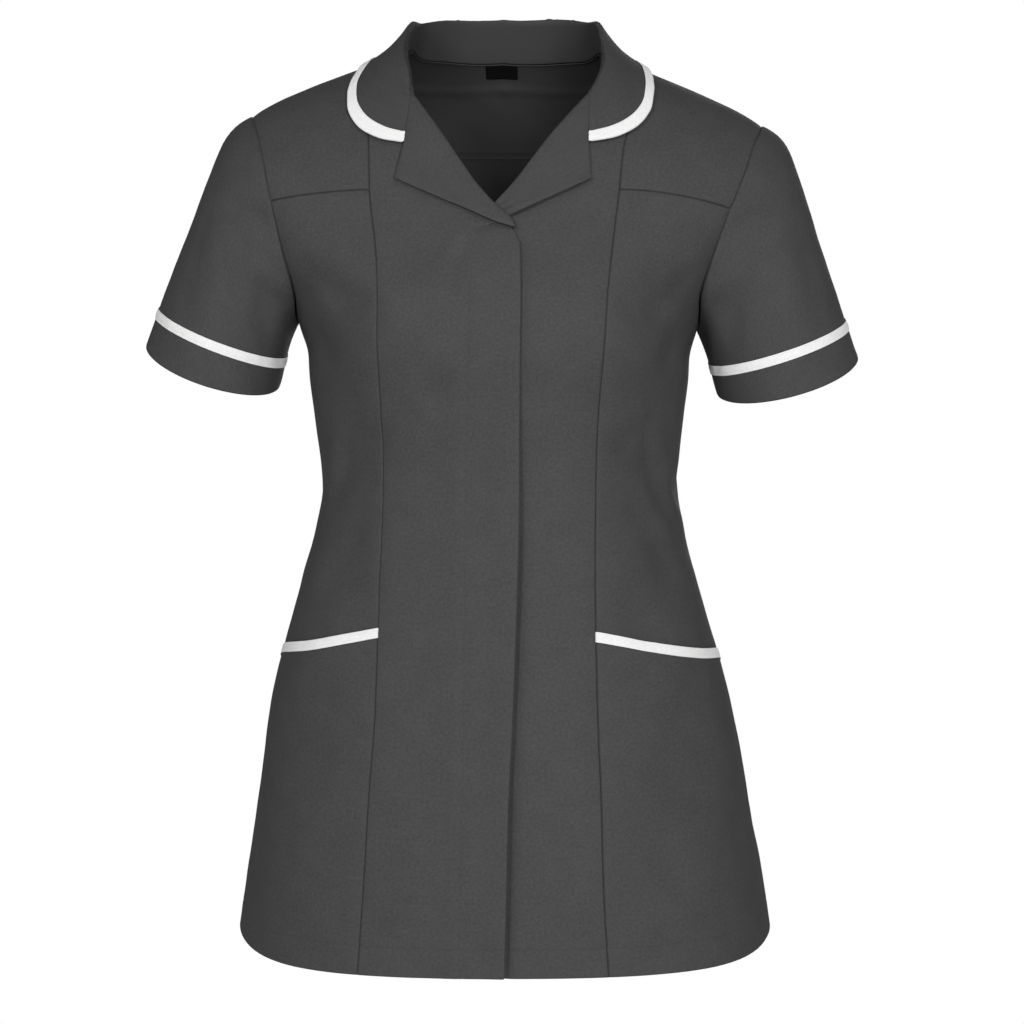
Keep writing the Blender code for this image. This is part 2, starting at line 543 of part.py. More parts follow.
# ---- Sleeves ---------------------------------------------------------------------------------
def sleeve_rows(side):
    """Rings of the sleeve from the armhole to the hem, and the numbers of the two tape rings."""
    stretches = armhole(side)
    edge = np.concatenate([stretch[:-1] for stretch in stretches])
    normal = outward(edge)
    run = unit(np.roll(edge, -1, 0) - np.roll(edge, 1, 0))
    along = unit(np.cross(run, normal))
    along *= np.sign(along[0, 0]) * side
    columns = ("follow_form", "out", "down")
    follow, out, down = (column(SLEEVE, name, edge[:, 2])[:, None] for name in columns)
    own = unit(out * (side, 0, 0) + down * (0, 0, 1) + 0.10 * np.sign(edge[:, 1:2]) * (0, 1, 0) * follow)
    start_direction = unit(follow * along + (1 - follow) * own)
    low = np.argmin(edge[:, 2])
    way = way_along(np.concatenate([edge, edge[:1]]))
    angle = np.interp(way[:-1], (0, way[low], way[-1]), (0, np.pi, 2 * np.pi))[:, None]
    flip = np.array((side, 1, 1))
    tilt_side = np.where(np.sin(angle) > 0, CUFF["front"], CUFF["back"])
    hem = (np.array(CUFF["middle"]) * flip + (CUFF["lean"], 0, 0)
           + np.array(CUFF["out"]) * flip * np.cos(angle) + tilt_side * np.abs(np.sin(angle)))
    hem[:, 0:1] += CUFF["under_lean"] * (1 - np.cos(angle)) / 2
    hem[:, 2] += TILT * hem[:, 0]
    end_direction = unit(np.array(CUFF["direction"]) * flip + 0 * hem)
    start = edge + start_direction * SEAM / 2 + normal * (1 - follow) * SEAM / 2
    reach = np.linalg.norm(hem - start, axis=-1, keepdims=True)
    first = start + start_direction * reach * SLEEVE_START
    second = hem - end_direction * reach * SLEEVE_END
    t = np.linspace(0, 1, 60)[:, None, None]
    curve = ((1 - t) ** 3 * start + 3 * t * (1 - t) ** 2 * first
             + 3 * t * t * (1 - t) * second + t ** 3 * hem)
    band = (CUFF_BAND["even"] + CUFF_BAND["outside"] * np.cos(angle)
            + CUFF_BAND["front"] * np.abs(np.sin(angle)))[:, 0]
    shares = np.array((0, 0.07, 0.18, 0.32, 0.48, 0.65, 0.82, 1.0))
    centre = curve.mean(1, keepdims=True)
    bulge = np.zeros(curve.shape[:2])
    columns = ("turn", "width", "middle", "spread", "height")
    for turn, width, middle, spread, height in zip(*(SLEEVE_FOLDS[name] for name in columns)):
        apart = (angle[:, 0] - turn - 0.4 * (t[:, 0] - middle) + np.pi) % (2 * np.pi) - np.pi
        bulge += (height * np.exp(-(apart / width) ** 2)
                  * np.exp(-((t[:, 0] - middle) / spread) ** 2))
    curve = curve + unit(curve - centre) * bulge[..., None]
    rings = []
    for j in range(len(edge)):
        line = curve[:, j]
        length = way_along(line)
        places = np.concatenate([shares * (length[-1] - band[j]), length[-1] - band[j] + (CUFF_TAPE,
                                 (CUFF_TAPE + band[j]) / 2, band[j])])
        rings.append(np.stack([np.interp(places, length, line[:, k]) for k in range(3)], -1))
    return np.swapaxes(np.array(rings), 0, 1), (7, 8)


def add_sleeve(side):
    """The sleeve and its tape, both closed tubes."""
    rows, (tape_top, tape_low) = sleeve_rows(side)
    away = rows - rows.mean(1, keepdims=True)
    if (grid_normals(rows, True) * away).sum() < 0:
        rows = rows[:, ::-1]
    normals = grid_normals(rows, True)
    add_wall("sleeve_" + SIDE_NAMES[side], rows, rows - normals * CLOTH, CHARCOAL, closed=True)
    band = slice(tape_top, tape_low + 1)
    inner = (rows + normals * LAID)[band]
    add_wall("sleeve_tape_" + SIDE_NAMES[side], inner + normals[band] * TAPE_CLOTH, inner, WHITE, closed=True)


# ---- Lapels and collar -----------------------------------------------------------------------
def inward_along(line, towards):
    """Unit steps on the form, square to a line, towards a point."""
    run = unit(np.gradient(line, axis=0))
    step = np.cross(outward(line), run)
    return unit(step * np.sign(((towards - line) * step).sum(-1, keepdims=True)))


def curl_columns(edge, inward, normal):
    """The inside of the fold: from beside the panel's edge up to the top of the fold."""
    return np.stack([edge + inward * x + normal * z for x, z in CURL], 1)


def on_front(side, across, z):
    return seen(column(FRONT_LINES, "middle", z) + side * across, z, FRONT)


def add_lapel(side, roll, lift):
    """The front's turned edge. The left lapel stops short of the right front, which laps over it."""
    neck_middle = np.array([0.0, -0.02, -0.06])
    tip = on_front(side, *LAPEL_TIP[side])
    corner = on_front(side, GORGE_END["across"], GORGE_END["height"])
    stations = 12
    if side == RIGHT:
        line = parts_of(roll, stations)
        lower = np.linspace(line[0], tip, 8)
    else:
        line = parts_of(parts_of(roll, 60)[LEFT_LAPEL_START:], stations)
        guides = [on_front(side, across, height) for across, height in LEFT_LAPEL_EDGE]
        lower = even(np.array([line[0], *guides, tip]), 7)
    outer = np.linspace(tip, corner, stations + 1)
    top = np.linspace(line[-1], corner, 8)
    grid = patch(lower, top, line, outer)
    grid = snap(grid)
    normal = outward(grid)
    heights = np.interp(np.linspace(0, 1, 8), np.linspace(0, 1, 7), TURN_HEIGHTS)
    raised = grid + normal * (heights[None, :, None] + lift(grid)[..., None])
    edge = line + outward(line) * lift(line)[..., None]
    curl = curl_columns(edge, inward_along(line, neck_middle), outward(line))
    middle = np.concatenate([curl, raised[:, 1:]], 1)
    directions = np.concatenate([curl * 0 + normal[:, :1], normal[:, 1:]], 1)
    add_turned("lapel_" + SIDE_NAMES[side], middle, directions)


def collar_stations(neck, necks):
    """The collar's middle surface: stand, fold and fall, from the right lapel round to the left."""
    half = {}
    for side in (RIGHT, LEFT):
        back_part = neck[8:] if side == LEFT else neck[8::-1]
        front_part = necks[side][::-1]
        edge = np.concatenate([parts_of(back_part, 8), parts_of(front_part, 10)[1:]])
        count = len(edge)
        way = way_along(edge)
        way = way / way[-1]
        normal = outward(edge)
        inward = inward_along(edge, np.array([0.0, 0.015, 0.0]))
        guides = np.stack([side * np.array(COLLAR_EDGE["across"]), np.array(COLLAR_EDGE["depth"]),
                           np.array(COLLAR_EDGE["height"])], -1)
        front_rows = guides[:, 1] < -0.045
        guides[front_rows, 0] += column(FRONT_LINES, "middle", guides[front_rows, 2])
        guides[~front_rows, 0] += NECK_LEAN
        free = even(snap(guides), count - 1)
        free[-1] = on_front(side, GORGE_END["across"], GORGE_END["height"])
        free = snap(free, 0.0024)
        height = column(COLLAR_STAND, "height", way, "way")[:, None]
        height += side * column(COLLAR_STAND, "tilt", way, "way")[:, None]
        start = edge + inward * CURL[0][0] + normal * CURL[0][1]
        up = unit(np.array([0, 0, 1.0]) + 0.12 * inward)
        flat = np.clip((way - 0.62) / 0.38, 0, 1)[:, None]
        flat = flat * flat * (3 - 2 * flat)
        up = unit(up * (1 - flat) + normal * flat)
        stand_top = start + up * (height - COLLAR_FOLD)
        outward_step = free - stand_top
        outward_step = unit(outward_step - (outward_step * up).sum(-1, keepdims=True) * up)
        centre = stand_top + outward_step * COLLAR_FOLD
        across, above = ((free - centre) * outward_step).sum(-1), ((free - centre) * up).sum(-1)
        reach = np.hypot(across, above)
        leave = np.arctan2(above, across) + np.arccos(np.clip(COLLAR_FOLD / reach, -1, 1))
        points = [start, (start + stand_top) / 2, stand_top]
        for share in (0.33, 0.66, 1.0):
            turn = (np.pi + (leave - np.pi) * share)[:, None]
            points.append(centre + COLLAR_FOLD * (np.cos(turn) * outward_step + np.sin(turn) * up))
        last = points[-1]
        fall = free - last
        bow = unit(np.cross(np.cross(fall, up), fall))
        length = np.linalg.norm(fall, axis=-1)
        for share in (0.2, 0.4, 0.6, 0.8, 1.0):
            part = (share * (1 - TAPE_WIDTH / length))[:, None]
            points.append(last + fall * part - bow * COLLAR_HOLLOW * np.sin(np.pi * part))
        points.append(free)
        standing = np.stack(points, 1)
        lying = np.concatenate([curl_columns(edge, inward, normal), standing[:, 5:]], 1)
        for k in range(7):
            share = k / 6
            place = snap(edge * (1 - share) + free * share)
            lying[:, 5 + k] = place + outward(place) * TURN_HEIGHTS[k]
        rows = standing * (1 - flat[:, None]) + lying * flat[:, None]
        body = rows[:, 5:]
        height_now = form(body) / np.linalg.norm(slope_of(body), axis=-1)
        least = np.array((0.0034, 0.0034, 0.0034, 0.0032, 0.0030, 0.0027, 0.0024))
        push = np.maximum(least - height_now, 0)
        rows[:, 5:] = body + outward(body) * push[..., None]
        half[side] = rows
    return np.concatenate([half[RIGHT][:0:-1], half[LEFT]])


def add_collar(rows):
    """The collar, and its tape folded over the free edge."""
    rows = rows.copy()
    for end, inner in ((0, 1), (-1, -2)):
        rows[end] += unit(rows[inner] - rows[end]) * GORGE_GAP
    middle, normals = add_turned("collar", rows, outward(rows))
    out = unit(middle[:, -1] - middle[:, -2])
    above = COLLAR_CLOTH / 2 + LAID + TAPE_CLOTH / 2
    past = out * (LAID + TAPE_CLOTH / 2)
    strip = np.stack([middle[:, -2] + normals[:, -2] * above,
                      middle[:, -1] + normals[:, -1] * above + past,
                      middle[:, -1] - normals[:, -1] * COLLAR_CLOTH / 2 + past], 1)
    rise = grid_normals(strip) * TAPE_CLOTH / 2
    add_wall("collar_tape", strip + rise, strip - rise, WHITE)


def add_label(back_yoke):
    """The label hangs inside the back yoke, from the middle of its neck edge."""
    middle = back_yoke.shape[1] // 2
    top, below = back_yoke[-1, middle - 1:middle + 2], back_yoke[-2, middle - 1:middle + 2]
    drop = np.linalg.norm(below[1] - top[1])
    shares = np.linspace(LABEL["length"], LABEL["from_edge"], 3)[:, None, None] / drop
    add_panel("label", top + (below - top) * shares, -CLOTH - LABEL["gap"], LABEL["cloth"], BLACK)


def add_front(side):
    """One front's centre, yoke, side, pocket and lapel, and the edges that its neighbours share."""
    name = SIDE_NAMES[side]
    upper = fly_lift if side == RIGHT else no_lift
    seam_low, seam_high = long_seam(side)
    edge, roll, neck = fly_edge(side)
    inner = np.concatenate([edge, roll[1:], neck[1:]])
    seam = np.concatenate([seam_low, seam_high[1:]])
    hem = hem_line(inner[0], seam[0], CENTRE_COLUMNS)
    shoulder = shoulder_seam(side, NECK_HALF + side * NECK_LEAN, LONG_SEAM_TOP, CENTRE_COLUMNS)
    centre = patch(hem, shoulder, inner, seam)
    add_panel("front_centre_" + name, centre, upper(centre))
    add_lapel(side, roll, upper)

    tip_yoke, yoke_underarm, underarm_back, back_tip = armhole(side)
    tip_yoke[0] = from_above(tip_yoke[0][0], SHOULDER_SEAM_Y)
    back_tip[-1] = tip_yoke[0]
    yoke_seam = front_yoke_seam(side, seam_high[0], tip_yoke[-1])
    outer_shoulder = shoulder_seam(side, LONG_SEAM_TOP, side * tip_yoke[0][0], SIDE_COLUMNS)
    add_panel("front_yoke_" + name, patch(yoke_seam, outer_shoulder, seam_high, tip_yoke[::-1]))

    down_side = side_seam(side)
    down_side[-1] = yoke_underarm[-1]
    outer_edge = np.concatenate([down_side, yoke_underarm[::-1][1:]])
    side_panel = patch(hem_line(seam_low[0], down_side[0], SIDE_COLUMNS), yoke_seam,
                       seam_low, outer_edge)
    under_pocket = np.zeros(side_panel.shape[:2])
    under_pocket[:MOUTH_TOP + 1] = -CLOTH - LAID
    add_panel("front_side_" + name, side_panel, under_pocket)
    add_panel("pocket_" + name, side_panel[:MOUTH_TOP + 1])
    add_panel("pocket_tape_" + name, side_panel[MOUTH_LOW:MOUTH_TOP + 1],
              LAID + TAPE_CLOTH, TAPE_CLOTH, WHITE)
    return {"neck": neck, "back tip": back_tip,
            "shoulder": np.concatenate([centre[-1], outer_shoulder[1:]]),
            "side": np.concatenate([down_side, underarm_back[1:]])}


def add_back(right, left, neck):
    """The back's centre and two sides below the yoke seam, and the back yoke above it."""
    columns = 2 * BACK_SIDE_COLUMNS + BACK_COLUMNS
    low, high = BACK_SIDE_COLUMNS, BACK_SIDE_COLUMNS + BACK_COLUMNS
    line = back_yoke_seam(right["side"][-1], left["side"][-1], columns)
    seam_right, seam_left = back_seam(RIGHT, line[low]), back_seam(LEFT, line[high])
    pieces = (("back_side_right", right["side"], seam_right, line[:low + 1]),
              ("back_centre", seam_right, seam_left, line[low:high + 1]),
              ("back_side_left", seam_left, left["side"], line[high:]))
    for name, start, end, top in pieces:
        add_panel(name, patch(hem_line(start[0], end[0], len(top) - 1, BACK), top, start, end))
    top = np.concatenate([right["shoulder"][::-1], neck[1:-1], left["shoulder"]])
    yoke = patch(parts_of(line, len(top) - 1), top, right["back tip"], left["back tip"])
    add_panel("back_yoke", yoke)
    add_label(yoke)


def main():
    clear_scene()
    right, left = add_front(RIGHT), add_front(LEFT)
    neck = neck_back()
    add_back(right, left, neck)
    for side in (RIGHT, LEFT):
        add_sleeve(side)
    add_collar(collar_stations(neck, {RIGHT: right["neck"], LEFT: left["neck"]}))


main()
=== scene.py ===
import math

import bpy
import numpy as np
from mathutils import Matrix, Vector


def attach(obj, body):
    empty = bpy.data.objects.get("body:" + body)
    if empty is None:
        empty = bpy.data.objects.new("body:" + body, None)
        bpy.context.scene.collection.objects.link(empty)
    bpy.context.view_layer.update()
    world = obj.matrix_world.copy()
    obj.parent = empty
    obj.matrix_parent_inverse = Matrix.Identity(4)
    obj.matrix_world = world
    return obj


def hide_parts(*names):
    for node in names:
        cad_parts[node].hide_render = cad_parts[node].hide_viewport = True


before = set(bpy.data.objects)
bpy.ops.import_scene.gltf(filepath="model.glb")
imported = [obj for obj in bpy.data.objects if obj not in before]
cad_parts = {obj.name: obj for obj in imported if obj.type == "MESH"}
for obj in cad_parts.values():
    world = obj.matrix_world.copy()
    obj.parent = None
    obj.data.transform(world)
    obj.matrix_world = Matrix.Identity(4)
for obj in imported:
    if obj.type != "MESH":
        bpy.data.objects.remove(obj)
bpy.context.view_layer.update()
print("frame loaded")

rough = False
grain = {
    "fine": 3 if rough else 5,          # steps a coarse step is cut into along the seams
    "cell": 0.0065 if rough else 0.0033,   # a face's width away from them
}
right, left = -1, 1
sideNames = {right: "right", left: "left"}
front, back = -1, 1


# smooth curves

def cubic(keys, values, at):
    keys, values = np.asarray(keys, float), np.asarray(values, float)
    slope = np.gradient(values, keys, axis=0)
    at = np.clip(at, keys[0], keys[-1])
    i = np.clip(np.searchsorted(keys, at) - 1, 0, len(keys) - 2)
    width = keys[i + 1] - keys[i]
    t = (at - keys[i]) / width
    if values.ndim > 1:
        t, width = t[..., None], width[..., None]
    return ((1 + 2 * t) * (1 - t) ** 2 * values[i] + t * (1 - t) ** 2 * width * slope[i]
            + t * t * (3 - 2 * t) * values[i + 1] + t * t * (t - 1) * width * slope[i + 1])


def column(table, name, at, key="height"):
    return cubic(table[key], table[name], at)


def finer(values):
    steps = len(values) - 1
    return cubic(np.arange(steps + 1), values, np.linspace(0, steps, steps * grain["fine"] + 1))


def wayAlong(points):
    steps = np.linalg.norm(np.diff(points, axis=0), axis=-1)
    return np.concatenate([0 * steps[:1], np.cumsum(steps, axis=0)])


def turned(grid):
    return np.swapaxes(grid, 0, 1)


def wayAcross(grid):
    return turned(wayAlong(turned(grid)))


def even(points, count):
    points = np.asarray(points, float)
    way = wayAlong(points)
    fine = cubic(way, points, np.linspace(0, way[-1], 40 * len(points)))
    way = wayAlong(fine)
    places = np.linspace(0, way[-1], count + 1)
    return np.stack([np.interp(places, way, fine[:, k]) for k in range(3)], -1)


def partsOf(line, count):
    cuts = np.linspace(0, len(line) - 1, count + 1)
    return np.stack([np.interp(cuts, np.arange(len(line)), line[:, k]) for k in range(3)], -1)


def smoothStep(t):
    t = np.clip(t, 0, 1)
    return t * t * (3 - 2 * t)


def bell(far, reach):
    return np.exp(-(far / reach) ** 2)


def unit(vectors):
    return vectors / np.linalg.norm(vectors, axis=-1, keepdims=True)


def ripple(way, seed, length=0.012):
    # an uneven wave along a seam
    draw = np.random.default_rng(seed)
    total = 0 * way
    for k in range(5):
        height, stretch, shift = draw.uniform(0.5, 1), draw.uniform(0.7, 2.4), draw.uniform(0, 6.3)
        total = total + height * np.sin(way * 2 * np.pi / (length * stretch) + shift)
    return total / 3


# the filled body form

size = {
    "length": 0.7185, "backLength": 0.716, "sideRise": 0.0250, "sideReach": 0.085,
    "shoulderWidth": 0.410, "bustWidth": 0.311, "waistWidth": 0.2850, "hemWidth": 0.4235,
    "waistDrop": 0.340, "underarmDrop": 0.217, "yokeDrop": 0.1175, "yokeSideDrop": 0.1270,
    "backYokeDrop": 0.072, "neckHalf": 0.0752, "neckLean": 0.0018, "flyLift": 0.0021,
    "tilt": -0.0167, "shoulderSeamY": 0.017, "longSeamTop": 0.107,
}
form = {
    "height": (-0.76, -0.70, -0.60, -0.50, -0.42, -size["waistDrop"], -0.29, -0.237,
               -0.20, -0.15, -0.10, -0.05, 0.06),
    "halfWidth": (0.220, size["hemWidth"] / 2, 0.1967, 0.1794, 0.1575, size["waistWidth"] / 2,
                  0.1472, size["bustWidth"] / 2, 0.165, 0.203, 0.236, 0.262, 0.280),
    "front": (0.153, 0.149, 0.141, 0.131, 0.119, 0.1135, 0.119, 0.126,
              0.122, 0.109, 0.094, 0.080, 0.060),
    "back": (0.147, 0.144, 0.136, 0.125, 0.104, 0.088, 0.091, 0.102,
             0.107, 0.110, 0.108, 0.102, 0.090),
    "lean": (0.003, 0.0018, 0.001, -0.002, -0.0028, -0.0022, -0.003, -0.003,
             -0.0036, -0.003, 0.001, 0.0036, 0.0036),
    "roundness": 2.35, "ridgeY": 0.010, "shoulderRound": 0.079, "cornerRound": 0.040,
    "trunkScale": 0.12, "roofScale": 0.93,      # bring both to about the distance from the surface
    "bustAcross": 0.082, "bustHeight": -0.222, "bustSpread": 0.058, "bustStand": 0.008,
}
roofLine = {
    "across": (0.0, 0.05, 0.08, 0.12, 0.16, 0.20, 0.24, 0.30),
    "height": (0.034, 0.021, 0.002, -0.0145, -0.0305, -0.0500, -0.0755, -0.124),
    "tilt": (0.0, 0.0, 0.0003, 0.0009, 0.0019, 0.0019, 0.0004, 0.0),
}
folds = {                   # the largest folds: troughs, and ridges where the height is above 0
    "face": (-1, -1, -1, -1, -1, -1, -1, -1, 1, 1, 1, 1, 1, 1, 1, 1, 1),
    "startX": (-0.131, 0.131, -0.134, 0.135, -0.152, 0.149, -0.165, 0.185,
               -0.128, 0.131, -0.110, 0.095, -0.158, 0.155, -0.075, 0.018, 0.112),
    "startZ": (-0.356, -0.352, -0.392, -0.398, -0.236, -0.240, -0.560, -0.610,
               -0.318, -0.326, -0.372, -0.365, -0.235, -0.238, -0.715, -0.715, -0.715),
    "endX": (-0.104, 0.098, -0.106, 0.108, -0.112, 0.106, -0.120, 0.125,
             -0.030, 0.022, 0.010, -0.020, -0.095, 0.104, -0.060, 0.010, 0.092),
    "endZ": (-0.312, -0.316, -0.440, -0.450, -0.206, -0.204, -0.530, -0.560,
             -0.336, -0.345, -0.388, -0.394, -0.170, -0.160, -0.500, -0.545, -0.470),
    "width": (0.015, 0.016, 0.018, 0.017, 0.014, 0.014, 0.020, 0.022,
              0.014, 0.013, 0.016, 0.014, 0.016, 0.015, 0.024, 0.020, 0.026),
    "height": (-0.0030, -0.0034, -0.0022, -0.0026, -0.0022, -0.0020, -0.0016, -0.0014,
               -0.0042, -0.0034, -0.0030, -0.0024, -0.0034, -0.0030, 0.0050, 0.0036, 0.0046),
    "turn": 0.030,
}


def largeFolds(x, y, z):
    total = np.zeros(x.shape)
    columns = ("face", "startX", "startZ", "endX", "endZ", "width", "height")
    for face, startX, startZ, endX, endZ, width, height in zip(*(folds[name] for name in columns)):
        runX, runZ = endX - startX, endZ - startZ
        nearest = np.clip(((x - startX) * runX + (z - startZ) * runZ) / (runX ** 2 + runZ ** 2), 0, 1)
        away = (x - startX - nearest * runX) ** 2 + (z - startZ - nearest * runZ) ** 2
        total += height * np.exp(-away / width ** 2) * smoothStep(0.5 + face * y / folds["turn"])
    return total


def depthOf(points):
    # roughly the distance from the form, below 0 inside it
    x, y, z = np.moveaxis(points, -1, 0)
    shifted = x - column(form, "lean", z)
    bust = form["bustStand"] * np.exp(-((np.abs(shifted) - form["bustAcross"]) ** 2
                                        + (z - form["bustHeight"]) ** 2) / form["bustSpread"] ** 2)
    depth = np.where(y < 0, column(form, "front", z) + bust, column(form, "back", z))
    power = form["roundness"]
    ring = np.abs(shifted / column(form, "halfWidth", z)) ** power + np.abs(y / depth) ** power
    trunk = (ring ** (1 / power) - 1) * form["trunkScale"]
    tilt = np.sign(x) * column(roofLine, "tilt", np.abs(x), "across")
    roof = ((z - column(roofLine, "height", np.abs(x), "across") + tilt) * form["roofScale"]
            + (y - form["ridgeY"]) ** 2 / (2 * form["shoulderRound"]))
    blend = np.clip(0.5 + 0.5 * (trunk - roof) / form["cornerRound"], 0, 1)
    whole = roof + (trunk - roof) * blend + form["cornerRound"] * blend * (1 - blend)
    return whole - largeFolds(x, y, z)


def slopeOf(points, step=1e-4):
    shifts = np.eye(3) * step
    return np.stack([depthOf(points + s) - depthOf(points - s) for s in shifts], axis=-1) / (2 * step)


def outward(points):
    return unit(slopeOf(points))


def snap(points, lift=0.0, rounds=6):
    points = np.asarray(points, float)
    for turn in range(rounds):
        slope = slopeOf(points)
        points = points - depthOf(points)[..., None] * slope / (slope ** 2).sum(-1, keepdims=True)
    return points + outward(points) * np.asarray(lift)[..., None]


search = {"front": 0.3, "side": 0.4, "above": 0.2, "below": -0.09}  # places well outside and inside the form


def between(outsideEnd, insideEnd):
    # where the form's surface lies on the way from one to the other
    for turn in range(34):
        middle = (outsideEnd + insideEnd) / 2
        outside = (depthOf(middle) > 0)[..., None]
        outsideEnd = np.where(outside, middle, outsideEnd)
        insideEnd = np.where(outside, insideEnd, middle)
    return insideEnd


def seen(x, z, face):
    x, z = np.broadcast_arrays(np.asarray(x, float), np.asarray(z, float))
    far, near = np.full(x.shape, face * search["front"]), np.full(x.shape, form["ridgeY"])
    return between(np.stack([x, far, z], -1), np.stack([x, near, z], -1))


def fromAbove(x, y):
    x, y = np.broadcast_arrays(np.asarray(x, float), np.asarray(y, float))
    above, below = (np.full(x.shape, search[name]) for name in ("above", "below"))
    return between(np.stack([x, y, above], -1), np.stack([x, y, below], -1))


def atSide(side, z):
    z = np.asarray(z, float)
    far, middle = np.full(z.shape, side * search["side"]), np.zeros(z.shape)
    return between(np.stack([far, middle, z], -1), np.stack([middle, middle, z], -1))


def hemHeight(y):
    length = np.where(y < 0, size["length"], size["backLength"])
    return -length + size["sideRise"] * bell(y, size["sideReach"])


def hemLine(start, end, count, face=front):
    ends = np.array([np.arctan2(place[1], place[0]) for place in (start, end)])
    ends = np.where(ends * face < -0.5, ends + face * 2 * np.pi, ends)
    angles = np.linspace(*ends, count * grain["fine"] + 1)
    ray = np.stack([np.cos(angles), np.sin(angles), np.zeros_like(angles)], -1)
    z = np.full(angles.shape, -size["length"])
    for turn in range(5):
        level = np.stack([0 * z, 0 * z, z], -1)
        places = between(level + ray * search["side"], level)
        z = hemHeight(places[:, 1])
    return places


# seams and edges

lines = {                   # distances from the middle line of the front, by height
    "height": (-0.75, -0.647, -0.586, -0.525, -0.433, -0.357, -0.296, -0.243, -0.205, -0.168,
               -0.120, -0.079, -0.044, 0),
    "middle": (-0.0150, -0.0148, -0.0137, -0.0126, -0.0122, -0.0111, -0.0103, -0.0091, -0.0080, -0.0068,
               -0.0066, -0.0048, -0.0020, 0),
    "longSeam": (0.0975, 0.0912, 0.0887, 0.0854, 0.0836, 0.0833, 0.0839, 0.0856, 0.0874, 0.0906, 0.0963,
                 0.0993, 0.1020, 0.1045),
    "flyEdge": (0.0150, 0.0175, 0.0179, 0.0198, 0.0228, 0.0234, 0.0228, 0.0222, 0.0216, 0.0200, 0.0170,
                0.0170, 0.0170, 0.0170),
    "longSeamRows": (-0.717, -0.672, -0.622, -0.570, -0.515, -0.4638, -0.4566, -0.410, -0.370, -0.335,
                     -0.300, -0.2725, -0.249, -0.226),
    "sideSeamRows": (-0.697, -0.660, -0.615, -0.570, -0.525, -0.4833, -0.4760, -0.420, -0.378, -0.341,
                     -0.305, -0.2740, -0.245, -size["underarmDrop"]),
    "flyRow": -0.190, "mouthLow": 5, "mouthTop": 6,     # the last two are the rows at a pocket's tape
    "tiltHeight": (-0.6, -0.47, -0.3, -0.22, -0.12),    # the rows lean with the shoulders at the mouths
    "longSeamTilt": (0, 1, 0, 0, 0), "longSeamLean": 0.09,
    "sideSeamTilt": (0, 1, 0, 0.2, 0.2), "sideSeamLean": 0.10,
}
lapel = {
    "breakAcross": 0.0163, "breakHeight": -0.1536,
    "rollHeight": (-0.1536, -0.1422, -0.133, -0.1166, -0.0975, -0.0784, -0.0645, -0.044),
    "rollAcross": (-0.0163, -0.0102, 0.0, 0.0148, 0.0285, 0.0417, 0.0523, 0.0685),
    "gorgeAcross": 0.0705, "gorgeHeight": -0.0792,
    "tip": {right: (0.0765, -0.1095), left: (0.0737, -0.1100)},
    "start": {right: 2, left: 2}, "bow": 0.0026, "bowLean": 0.55, "pressed": 0.0007, "pressedReach": 0.013,
    "inner": (0.0, -0.02, -0.06),       # a place that the turning line curls towards
    "rise": (0.0038, 0.0041, 0.0040, 0.0036, 0.0031, 0.0027, 0.0024),
    "curl": ((0.0011, -0.0006), (0.0016, 0.0002), (0.0017, 0.0012), (0.0013, 0.0024), (0.0002, 0.0033)),
}
neckline = {                # guide places on the left half
    "front": ((0.0725, -0.052, -0.028), (0.0750, -0.022, -0.010)),
    "back": ((0.0690, 0.044, 0.003), (0.046, 0.066, 0.004)), "middle": (0, 0.0765, 0.0045),
    "seamGuide": (0.1045, -0.045, -0.04), "seamGuideHeight": -0.085,
}
armholeLine = {
    "steps": (6, 7, 9, 5), "yokeAcross": 0.179,
    "frontAcross": (size["shoulderWidth"] / 2, 0.2034, 0.1962, 0.1898, 0.1789, 0.1700, 0.1625, 0.1595),
    "frontHeight": (-0.0520, -0.0570, -0.0730, -0.0935, -0.1295, -0.1640, -0.1940, -0.2110),
    "frontDepth": (0.012, -0.018, -0.043, -0.058, -0.067, -0.066, -0.050, -0.024),
    "backAcross": (0.1589, 0.1605, 0.1660, 0.1770, 0.1860, 0.1945, 0.2012, 0.2046),
    "backHeight": (-0.217, -0.2110, -0.1920, -0.1600, -0.1250, -0.0900, -0.0700, -0.0570),
    "backDepth": (0.002, 0.028, 0.056, 0.074, 0.076, 0.066, 0.054, 0.036),
}


def frontPlace(side, across, z):
    if isinstance(across, str):
        across = column(lines, across, z)
    return seen(column(lines, "middle", z) + side * across, z, front)


def toHem(line):
    for turn in range(6):
        line[0] = snap(np.array([line[0][0], line[0][1], hemHeight(line[0][1])]))
    return line


def rowTilt(side, name, heights):
    share = np.interp(heights, lines["tiltHeight"], lines[name + "Tilt"])
    return size["tilt"] * side * lines[name + "Lean"] * share


def longSeam(side):
    low = finer(lines["longSeamRows"])
    heights = np.concatenate([low, np.linspace(low[-1], -size["yokeDrop"], 7 * grain["fine"] + 1)[1:]])
    lower = toHem(frontPlace(side, "longSeam", heights + rowTilt(side, "longSeam", heights)))
    top = fromAbove(side * size["longSeamTop"], size["shoulderSeamY"])
    heights = np.array([-size["yokeDrop"], neckline["seamGuideHeight"]])
    guide = snap(np.array([neckline["seamGuide"]]) * (side, 1, 1))
    guides = np.concatenate([frontPlace(side, "longSeam", heights), guide, [top]])
    return lower, snap(even(guides, 6 * grain["fine"]))


def sideSeam(side):
    heights = finer(lines["sideSeamRows"])
    return toHem(atSide(side, heights + rowTilt(side, "sideSeam", heights)))


